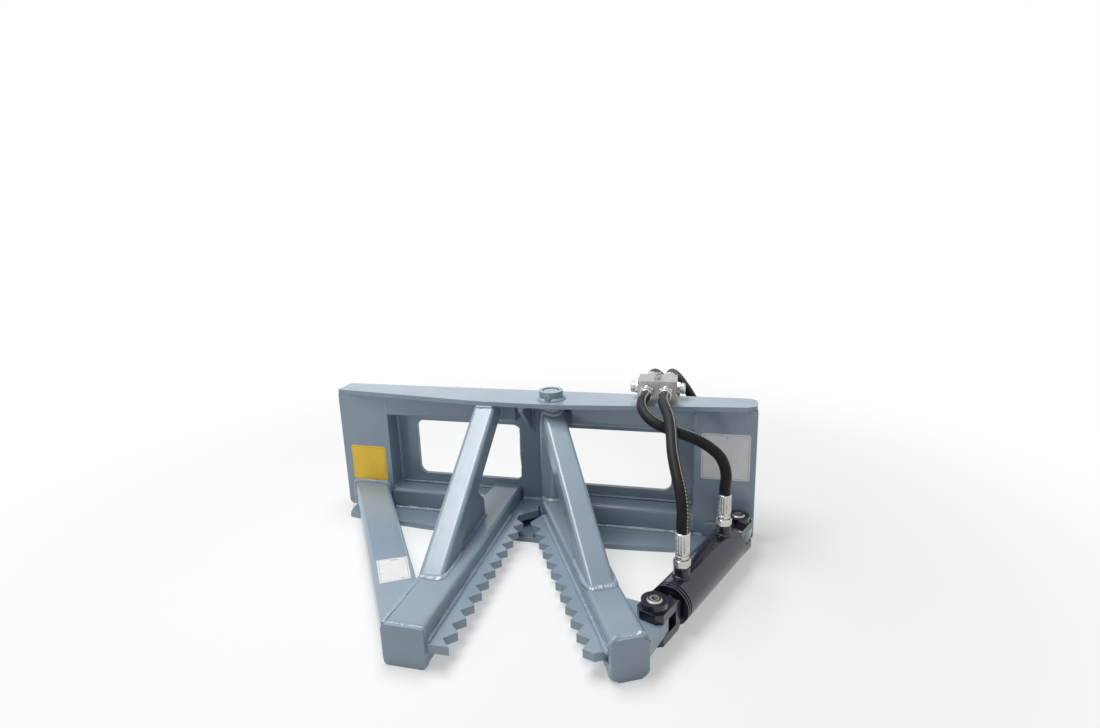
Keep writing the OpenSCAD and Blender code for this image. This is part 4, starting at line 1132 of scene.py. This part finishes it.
def section_radius(kind, radius, angle, across):
    """How far a fitting's section reaches at an angle: round, six-sided, or crimped into flutes."""
    if kind == "hex":
        sixth = math.radians(60)
        flat = across / 2 / math.cos(angle % sixth - sixth / 2)
        return min(flat, radius)
    if kind == "crimp":
        return radius - 1.5 * MM * abs(math.sin(7 * angle)) ** 5
    return radius


def turned_fitting(bm, foot, axis, side, profile, across=NUT_ACROSS, closed=False, sides=96):
    """A fitting that stands on foot along axis. Its profile lists height, kind and radius in mm.

    A closed one is a ring, whose last section joins the first.
    """
    other = axis.cross(side)
    rings = []
    for height, kind, radius in profile:
        ring = []
        for k in range(sides):
            angle = math.tau * k / sides
            reach = section_radius(kind, radius * MM, angle, across)
            way = math.cos(angle) * side + math.sin(angle) * other
            ring.append(bm.verts.new(foot + axis * height * MM + way * reach))
        rings.append(ring)
    skin(bm, rings, closed)


def nut_profile(low, high, chamfer=1.8):
    """A six-sided nut with both ends turned round."""
    return [(low, "hex", 13.3), (low + chamfer, "hex", 15.6), (high - chamfer, "hex", 15.6),
            (high, "hex", 13.3)]


def crimp_profile(low, high):
    """A ferrule crimped along its middle, with plain rolled ends."""
    return [(low, "round", 11.6), (low + 0.8, "round", 12.9), (low + 3.0, "round", 13.1),
            (low + 4.2, "crimp", 13.5), (high - 4.4, "crimp", 13.5), (high - 3.2, "round", 13.2),
            (high - 1.0, "round", 13.2), (high, "round", 12.0)]


def make_crimped_ends(material):
    """The nuts, collars and ferrules of the two hoses on the cylinder."""
    bm = bmesh.new()
    profile = nut_profile(0, 15) + [
        (15.1, "round", 9.6), (17.0, "round", 9.6), (17.1, "round", 11.6), (17.9, "round", 12.4),
        (21.6, "round", 12.4), (22.4, "round", 11.6), (22.5, "round", 10.0), (25.4, "round", 10.0),
    ] + crimp_profile(25.5, 66)
    for port in PORTS_X:
        turned_fitting(bm, on_cylinder(port, 0, PORT_BOSS_TOP), Z, CYLINDER_AXIS, profile)
    piece = new_piece("crimped_ends", bm, material, "cylinder")
    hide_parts("hose_end_fittings")


def make_front_fittings(material):
    """The nuts and short ferrules at the valve block's front ports."""
    low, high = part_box("valve_front_fittings")
    radius = NUT_ACROSS / math.sqrt(3)
    block_front = corner_of("valve_block").y
    bm = bmesh.new()
    profile = nut_profile(0, 11) + [(11.1, "round", 10.4), (12.6, "round", 10.4)]
    profile += crimp_profile(12.7, (block_front - low.y) / MM)
    for x in (low.x + radius, high.x - radius):
        turned_fitting(bm, Vector((x, block_front, (low.z + high.z) / 2)), -Y, Z, profile)
    piece = new_piece("front_fittings", bm, material, "frame")
    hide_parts("valve_front_fittings")


def make_port_caps(material):
    """The two blank caps on the ends of the valve block."""
    low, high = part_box("valve_caps")
    centre = (low + high) / 2
    profile = [
        (0, "hex", 12.6), (1.2, "hex", 13.8), (6.8, "hex", 13.8), (7.8, "hex", 12.4), (7.9, "round", 9.8),
        (9.2, "round", 9.8), (9.3, "round", 11.4), (10.2, "round", 12.0), (14.6, "round", 12.0),
        (16.6, "round", 10.8), (17.7, "round", 8.6), (18.0, "round", 5.0),
    ]
    bm = bmesh.new()
    for x, way in ((corner_of("valve_block").x, -X), (corner_of("valve_block", x=1).x, X)):
        turned_fitting(bm, Vector((x, centre.y, centre.z)), way, Z, profile, CAP_ACROSS)
    piece = new_piece("port_caps", bm, material, "frame")
    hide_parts("valve_caps")


def make_pin_ring(name, pin, body, material):
    """The ring of black paint left in the turned face of a pin."""
    bm = bmesh.new()
    profile = [(-0.1, "round", 11.0), (0.25, "round", 10.8), (0.25, "round", 8.4), (-0.1, "round", 8.2)]
    turned_fitting(bm, top_centre(pin), Z, X, profile, closed=True)
    new_piece(name, bm, material, body)


def make_pin_paint(material):
    """The paint over the top of the pivot pin."""
    bm = bmesh.new()
    profile = [(-1.6, "round", 18.4), (-0.2, "round", 17.5), (0.2, "round", 17.0), (0.3, "round", 16.2),
               (0.3, "round", 6.0), (0.15, "round", 1.0)]
    turned_fitting(bm, top_centre("pivot_pin"), Z, X, profile)
    new_piece("pivot_pin_paint", bm, material, "frame")


def make_end_plate(material):
    """The thin plate that closes the upper left cross tube beside the post."""
    low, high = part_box("upper_cross_tube_left")
    side = high.z - low.z
    centre = (low + high) / 2
    post_face = corner_of("centre_post").y - 0.2 * MM
    outline = rounded_outline(side, side, TUBE_CORNER)
    bm = bmesh.new()
    rings = []
    for x, scale in ((-0.5, 0.985), (1.2, 0.985), (2.0, 0.95)):
        rings.append([bm.verts.new((high.x + x * MM, min(centre.y + u * scale, post_face),
                                    centre.z + v * scale)) for u, v, _, _ in outline])
    skin(bm, rings)
    new_piece("cross_tube_end", bm, material, "frame")


def make_painted_bolt(material):
    """The painted bolt across the collar, with its head in front and its nut behind."""
    low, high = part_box("pivot_cross_bolt")
    centre = (low + high) / 2
    head_face = Vector((centre.x, low.y + BOLT_HEAD_H, centre.z))
    nut_face = Vector((centre.x, high.y - BOLT_NUT_L, centre.z))
    grip = (nut_face - head_face).length / MM
    head = [(0, "hex", 7.5), (4.2, "hex", 7.5), (5.3, "hex", 6.3)]
    nut = [(0, "hex", 7.5), (5.6, "hex", 7.5), (6.5, "hex", 6.4), (6.6, "round", 4.1),
           (9.6, "round", 4.0), (10.0, "round", 3.5)]
    shank = [(-0.5, "round", 4.0), (grip + 0.5, "round", 4.0)]
    bm = bmesh.new()
    turned_fitting(bm, head_face, -Y, Z, head, BOLT_ACROSS)
    turned_fitting(bm, nut_face, Y, Z, nut, BOLT_ACROSS)
    turned_fitting(bm, head_face, Y, Z, shank)
    piece = new_piece("painted_cross_bolt", bm, material, "frame")
    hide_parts("pivot_cross_bolt")


# Films

FILM_CORNER_POINTS = 7
FILM_BEVEL = 0.012
FILM_SUNK = 0.05 * MM
FILM_CELL = 6 * MM
FILM_JAW_Z = FIXED_JAW_TOP / MM
FILM_PLACES = (
    ("film_left", "yellow", -Y, 4, [(-470, 0, 82), (-377, 0, 82), (-377, 0, 171), (-470, 0, 171)]),
    ("film_right", "white", -Y, 5, [(377, 0, 147), (478, 0, 147), (478, 0, 251), (377, 0, 251)]),
    ("film_jaw", "white", Z, 1.5, [(-177, -404, FILM_JAW_Z), (-129, -375, FILM_JAW_Z),
                                   (-171, -308, FILM_JAW_Z), (-223, -335, FILM_JAW_Z)]),
)


def make_film(name, material, outward, radius, corners):
    """A thin film with rounded corners, on the flat face that holds its four corners."""
    points = [Vector(corner) * MM for corner in corners]
    radius = radius * MM
    outline = []
    for i, corner in enumerate(points):
        start = corner + (points[i - 1] - corner).normalized() * radius
        end = corner + (points[(i + 1) % 4] - corner).normalized() * radius
        for k in range(FILM_CORNER_POINTS):
            t = k / (FILM_CORNER_POINTS - 1)
            outline.append(start.lerp(corner, t).lerp(corner.lerp(end, t), t))
    bm = bmesh.new()
    uv = bm.loops.layers.uv.new("film")
    middle = sum(points, Vector()) / 4
    low = [bm.verts.new(p - outward * FILM_SUNK) for p in outline]
    high = [bm.verts.new(p.lerp(middle, FILM_BEVEL) + outward * settings("films").thickness)
            for p in outline]
    bm.faces.new(high)
    bm.faces.new(low[::-1])
    for k in range(len(outline)):
        after = (k + 1) % len(outline)
        bm.faces.new((low[k], low[after], high[after], high[k]))
    bmesh.ops.triangulate(bm, faces=[face for face in bm.faces if len(face.verts) > 4])
    long_edges = [edge for edge in bm.edges if edge.calc_length() > FILM_CELL]
    bmesh.ops.subdivide_edges(bm, edges=long_edges, cuts=3)
    map_film(bm, uv, points)
    new_piece(name, bm, material, "frame")


def map_film(bm, uv, points):
    """Gives each corner of a face its distances from the film's edges, both ways."""
    for loop in (loop for face in bm.faces for loop in face.loops):
        gaps = []
        for a, b in zip(points, points[1:] + points[:1]):
            way = (b - a).normalized()
            foot = a + way * (loop.vert.co - a).dot(way)
            gaps.append((loop.vert.co - foot).length)
        loop[uv].uv = (min(gaps[0], gaps[2]), min(gaps[1], gaps[3]))


# Camera and stage

def make_camera():
    """The camera at the photograph's place."""
    ahead = Vector((
        math.sin(CAMERA_YAW) * math.cos(CAMERA_PITCH), math.cos(CAMERA_YAW) * math.cos(CAMERA_PITCH),
        -math.sin(CAMERA_PITCH)))
    level = Vector((math.cos(CAMERA_YAW), -math.sin(CAMERA_YAW), 0))
    down = ahead.cross(level)
    right = math.cos(CAMERA_ROLL) * level + math.sin(CAMERA_ROLL) * down
    under = math.cos(CAMERA_ROLL) * down - math.sin(CAMERA_ROLL) * level
    data = bpy.data.cameras.new("Camera")
    data.lens = CAMERA_LENS
    data.sensor_width = CAMERA_SENSOR
    data.clip_start = 0.01
    camera = bpy.data.objects.new("Camera", data)
    turn = Matrix((right, -under, -ahead)).transposed().to_4x4()
    camera.matrix_world = Matrix.Translation(CAMERA_AT) @ turn
    bpy.context.scene.collection.objects.link(camera)
    bpy.context.scene.camera = camera


def seen_directly(tree):
    """1 for the rays that show the background itself, in a view, a reflection or through glass."""
    path = add(tree, "ShaderNodeLightPath")
    seen = maths(tree, "MAXIMUM", path.outputs["Is Camera Ray"], path.outputs["Is Glossy Ray"])
    return maths(tree, "MAXIMUM", seen, path.outputs["Is Transmission Ray"])


def make_world(stage):
    """Even white light from all round, and a white background."""
    world = bpy.data.worlds.new("Studio")
    bpy.context.scene.world = world
    world.use_nodes = True
    tree = world.node_tree
    background = tree.nodes["Background"]
    feed(tree, background.inputs["Color"], (1, 1, 1))
    feed(tree, background.inputs["Strength"], ranged(tree, seen_directly(tree), stage.sky, 1.0))


def make_floor(stage):
    """A matt floor that keeps the shadows near the object and turns into the background far away."""
    bm = bmesh.new()
    bmesh.ops.create_circle(bm, cap_ends=True, radius=FLOOR_R, segments=96)
    floor = bpy.data.objects.new("Floor", finished_mesh("Floor", bm))
    bpy.context.scene.collection.objects.link(floor)
    floor.location.z = -FLOOR_DROP
    material, tree, shader = new_material("Floor", Roughness=0.9)
    place = object_place(tree)
    colour = Vector(stage.floor)
    cloud = noise_value(tree, place, 2.2, 3.0)
    feed(tree, shader.inputs["Base Color"], mixed(tree, cloud, colour * 1.01, colour * 0.99))
    far = add(tree, "ShaderNodeVectorMath", {0: place}, operation="LENGTH").outputs["Value"]
    fade = ranged(tree, far, NEAR_GLOW, 1.0, FADE_STARTS, FADE_ENDS, "SMOOTHSTEP")
    glow = add(tree, "ShaderNodeEmission", {"Color": (1, 1, 1), "Strength": 1.0})
    blend = add(tree, "ShaderNodeMixShader", {
        0: maths(tree, "MULTIPLY", fade, seen_directly(tree)), 1: shader.outputs[0], 2: glow.outputs[0]})
    tree.links.new(blend.outputs[0], tree.nodes["Material Output"].inputs["Surface"])
    floor.data.materials.append(material)


def make_lamp(name, place, target, size, power):
    """A soft rectangular lamp that points at a target."""
    data = bpy.data.lights.new(name, "AREA")
    data.shape = "RECTANGLE"
    data.size, data.size_y = size
    data.energy = power
    lamp = bpy.data.objects.new(name, data)
    lamp.location = place
    lamp.rotation_mode = "QUATERNION"
    lamp.rotation_quaternion = (target - place).to_track_quat("-Z", "Y")
    bpy.context.scene.collection.objects.link(lamp)


# Hoses

def make_held_hose(name, route):
    """A hose from the valve block to the cylinder."""
    path = smooth_route(route, HELD_HOSE_STEP)
    shape = tube_shape(path, settings("hoses").diameter / 2, X)
    hose = new_piece(name, shape, hose_material(name + "_cover", True), None)
    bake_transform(hose)
    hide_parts(name)


def make_supply_hose(name, route):
    """A hose that runs down behind the frame and lies on the floor."""
    hoses = settings("hoses")
    path = smooth_route(route, SUPPLY_HOSE_STEP)
    shape = tube_shape(path, hoses.diameter / 2, X)
    hose = new_piece(name + "_hose", shape, hose_material(name + "_cover", False), "frame")
    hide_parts(name)


def make_guard():
    """The spiral guard: one band wound around both supply hoses."""
    low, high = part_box("spiral_wrap")
    middle = (low + high) / 2
    reach = (high.z - low.z) / 2 - GUARD_THICK / 2
    half = (high.y - low.y) / 2 - reach - GUARD_THICK / 2
    band = settings("hoses").guard_band
    pitch = band * GUARD_SPACING
    turns = int((high.x - low.x - band) / pitch)
    outline = rounded_outline(2 * (half + reach), 2 * reach, reach, GUARD_STEP)
    section = ((-0.5, -0.5), (0.5, -0.5), (0.5, 0.2), (0.3, 0.5), (-0.3, 0.5), (-0.5, 0.2))
    outer_side = (2, 3, 4)
    count = len(outline)
    bm = bmesh.new()
    rings = []
    for i in range(turns * count + 1):
        y, z, ny, nz = outline[i % count]
        out = Vector((0, ny, nz)).normalized()
        at = Vector((low.x + band / 2 + pitch * i / count, middle.y + y, middle.z + z))
        rings.append([bm.verts.new(at + X * a * band + out * b * GUARD_THICK) for a, b in section])
    skin(bm, rings, smooth=outer_side)
    guard = new_piece("spiral_guard", bm, guard_material(), "frame")
    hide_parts("spiral_wrap")
    return guard


# Operators

class TREE_PULLER_OT_camera(Operator):
    """Sets the camera at the photograph's place"""
    bl_idname = "tree_puller.camera"
    bl_label = "Camera"

    def execute(self, context):
        make_camera()
        return {"FINISHED"}


class TREE_PULLER_OT_effects(Operator):
    """Builds the shader groups that the materials share"""
    bl_idname = "tree_puller.effects"
    bl_label = "Shared effects"

    def execute(self, context):
        build_edge_group()
        build_mottle_group()
        build_grain_group()
        return {"FINISHED"}


class TREE_PULLER_OT_supply_hoses(Operator):
    """Lays the two supply hoses and their spiral guard"""
    bl_idname = "tree_puller.supply_hoses"
    bl_label = "Supply hoses"

    def execute(self, context):
        guard = make_guard()
        make_supply_hose("supply_hose_a", SUPPLY_A_ROUTE)
        make_supply_hose("supply_hose_b", SUPPLY_B_ROUTE)
        return {"FINISHED"}


class TREE_PULLER_OT_held_hoses(Operator):
    """Makes the two hoses from the valve block to the cylinder"""
    bl_idname = "tree_puller.held_hoses"
    bl_label = "Cylinder hoses"

    def execute(self, context):
        make_held_hose("hose_base_end", HOSE_BASE_ROUTE)
        make_held_hose("hose_rod_end", HOSE_ROD_ROUTE)
        return {"FINISHED"}


class TREE_PULLER_OT_paintwork(Operator):
    """Paints the frame and both jaws"""
    bl_idname = "tree_puller.paintwork"
    bl_label = "Paintwork"

    def execute(self, context):
        paint = paint_material("Blue_grey_paint")
        finish_nodes("paint", paint)
        make_pin_paint(paint)
        make_painted_bolt(paint)
        make_end_plate(paint)
        return {"FINISHED"}


class TREE_PULLER_OT_metals(Operator):
    """Finishes the cylinder, the fittings, the valve block and the bearings"""
    bl_idname = "tree_puller.metals"
    bl_label = "Metals"

    def execute(self, context):
        metals = settings("metals")
        black = black_material()
        finish_nodes("black_paint", black)
        make_pin_ring("base_pin_ring", "base_pin", "cylinder", black)
        make_pin_ring("rod_pin_ring", "rod_clevis_pin", "rod", black)
        zinc = metal_material("Zinc_plate", metals.zinc, 0.24, 0.22, 700.0, 0.5 * MM, (1.0, 1.0, 0.3))
        finish_nodes("plated_steel", zinc)
        make_crimped_ends(zinc)
        make_front_fittings(zinc)
        make_port_caps(zinc)
        finish_nodes("steel", metal_material(
            "Machined_steel", metals.steel, 0.34, 0.2, 900.0, 0.5 * MM))
        finish_nodes("chrome", metal_material(
            "Hard_chrome", (0.72, 0.72, 0.74), 0.10, 0.06, 1200.0, 0.3 * MM))
        finish_nodes("raw_aluminium", metal_material(
            "Milled_aluminium", metals.aluminium, 0.42, 0.25, 520.0, 1.0 * MM, (1.0, 0.08, 1.0)))
        finish_nodes("bronze", metal_material("Bronze", metals.bronze, 0.38, 0.2, 800.0, 0.4 * MM))
        return {"FINISHED"}


class TREE_PULLER_OT_frame_welds(Operator):
    """Lays the weld beads of the frame and the fixed jaw"""
    bl_idname = "tree_puller.frame_welds"
    bl_label = "Frame welds"

    def execute(self, context):
        material = paint_material("Painted_weld", weld=True)
        make_welds("welds_mount_frame", 1, material, "frame", (
            weld_cross_tubes, weld_side_boxes, weld_post, weld_rear, weld_collar))
        make_welds("welds_fixed_jaw", 2, material, "frame", (
            weld_inner_tube, weld_outer_tube, weld_fixed_brace))
        return {"FINISHED"}


class TREE_PULLER_OT_jaw_welds(Operator):
    """Lays the weld beads of the moving jaw"""
    bl_idname = "tree_puller.jaw_welds"
    bl_label = "Moving jaw welds"

    def execute(self, context):
        make_welds("welds_moving_jaw", 3, bpy.data.materials["Painted_weld"], "jaw", (
            weld_moving_plates, weld_moving_cap, weld_moving_brace, weld_pivot_tube))
        return {"FINISHED"}


class TREE_PULLER_OT_cylinder_welds(Operator):
    """Lays the weld beads of the cylinder and its rod clevis"""
    bl_idname = "tree_puller.cylinder_welds"
    bl_label = "Cylinder welds"

    def execute(self, context):
        black = bpy.data.materials["Black_paint"]
        make_welds("welds_cylinder", 4, black, "cylinder", (
            weld_clevis, weld_port_bosses))
        make_welds("welds_rod_clevis", 5, black, "rod", (weld_rod_clevis,))
        return {"FINISHED"}


class TREE_PULLER_OT_films(Operator):
    """Puts the three blank films on the frame and the fixed jaw"""
    bl_idname = "tree_puller.films"
    bl_label = "Blank films"

    def execute(self, context):
        films = settings("films")
        materials = {
            "yellow": film_material("Yellow_film", films.yellow, (0.62, 0.38, 0.01)),
            "white": film_material("White_film", films.white, (0.45, 0.45, 0.44)),
        }
        for name, colour, outward, radius, corners in FILM_PLACES:
            make_film(name, materials[colour], outward, radius, corners)
        return {"FINISHED"}


class TREE_PULLER_OT_stage(Operator):
    """Sets the floor, the lamps and the background"""
    bl_idname = "tree_puller.stage"
    bl_label = "Stage"

    def execute(self, context):
        stage = settings("stage")
        bpy.context.scene.view_settings.view_transform = "Standard"
        make_world(stage)
        make_floor(stage)
        make_lamp("Top_lamp", TOP_LAMP_AT, TOP_LAMP_AIM, TOP_LAMP_SIZE, stage.top_power)
        make_lamp("Fill_lamp", FILL_LAMP_AT, FILL_LAMP_AIM, FILL_LAMP_SIZE, stage.fill_power)
        return {"FINISHED"}


STEPS = (
    TREE_PULLER_OT_camera, TREE_PULLER_OT_effects, TREE_PULLER_OT_supply_hoses, TREE_PULLER_OT_held_hoses,
    TREE_PULLER_OT_paintwork, TREE_PULLER_OT_metals, TREE_PULLER_OT_frame_welds,
    TREE_PULLER_OT_jaw_welds, TREE_PULLER_OT_cylinder_welds, TREE_PULLER_OT_films,
    TREE_PULLER_OT_stage,
)
GROUPS = {
    "paint": PaintSettings, "welds": WeldSettings, "hoses": HoseSettings, "metals": MetalSettings,
    "films": FilmSettings, "stage": StageSettings,
}


class TREE_PULLER_PT_sidebar(Panel):
    """Lists the settings and the steps"""
    bl_idname = "TREE_PULLER_PT_sidebar"
    bl_label = "Tree puller"
    bl_space_type = "VIEW_3D"
    bl_region_type = "UI"
    bl_category = "Tree puller"

    def draw(self, context):
        for name, group in GROUPS.items():
            box = self.layout.box()
            box.label(text=name.capitalize())
            for key in group.__annotations__:
                box.prop(settings(name), key)
        for step in STEPS:
            self.layout.operator(step.bl_idname)


def register():
    """Registers the settings, the operators and the panel."""
    for name, group in GROUPS.items():
        bpy.utils.register_class(group)
        setattr(bpy.types.Scene, "tree_puller_" + name, PointerProperty(type=group))
    for step in (*STEPS, TREE_PULLER_PT_sidebar):
        bpy.utils.register_class(step)


def unregister():
    """Takes out what register put in."""
    for step in (TREE_PULLER_PT_sidebar, *reversed(STEPS)):
        bpy.utils.unregister_class(step)
    for name, group in GROUPS.items():
        delattr(bpy.types.Scene, "tree_puller_" + name)
        bpy.utils.unregister_class(group)


def main():
    """Makes the scene step by step."""
    register()
    for step in STEPS:
        name = step.bl_idname.split(".")[1]
        getattr(bpy.ops.tree_puller, name)()


if __name__ == "__main__":
    main()
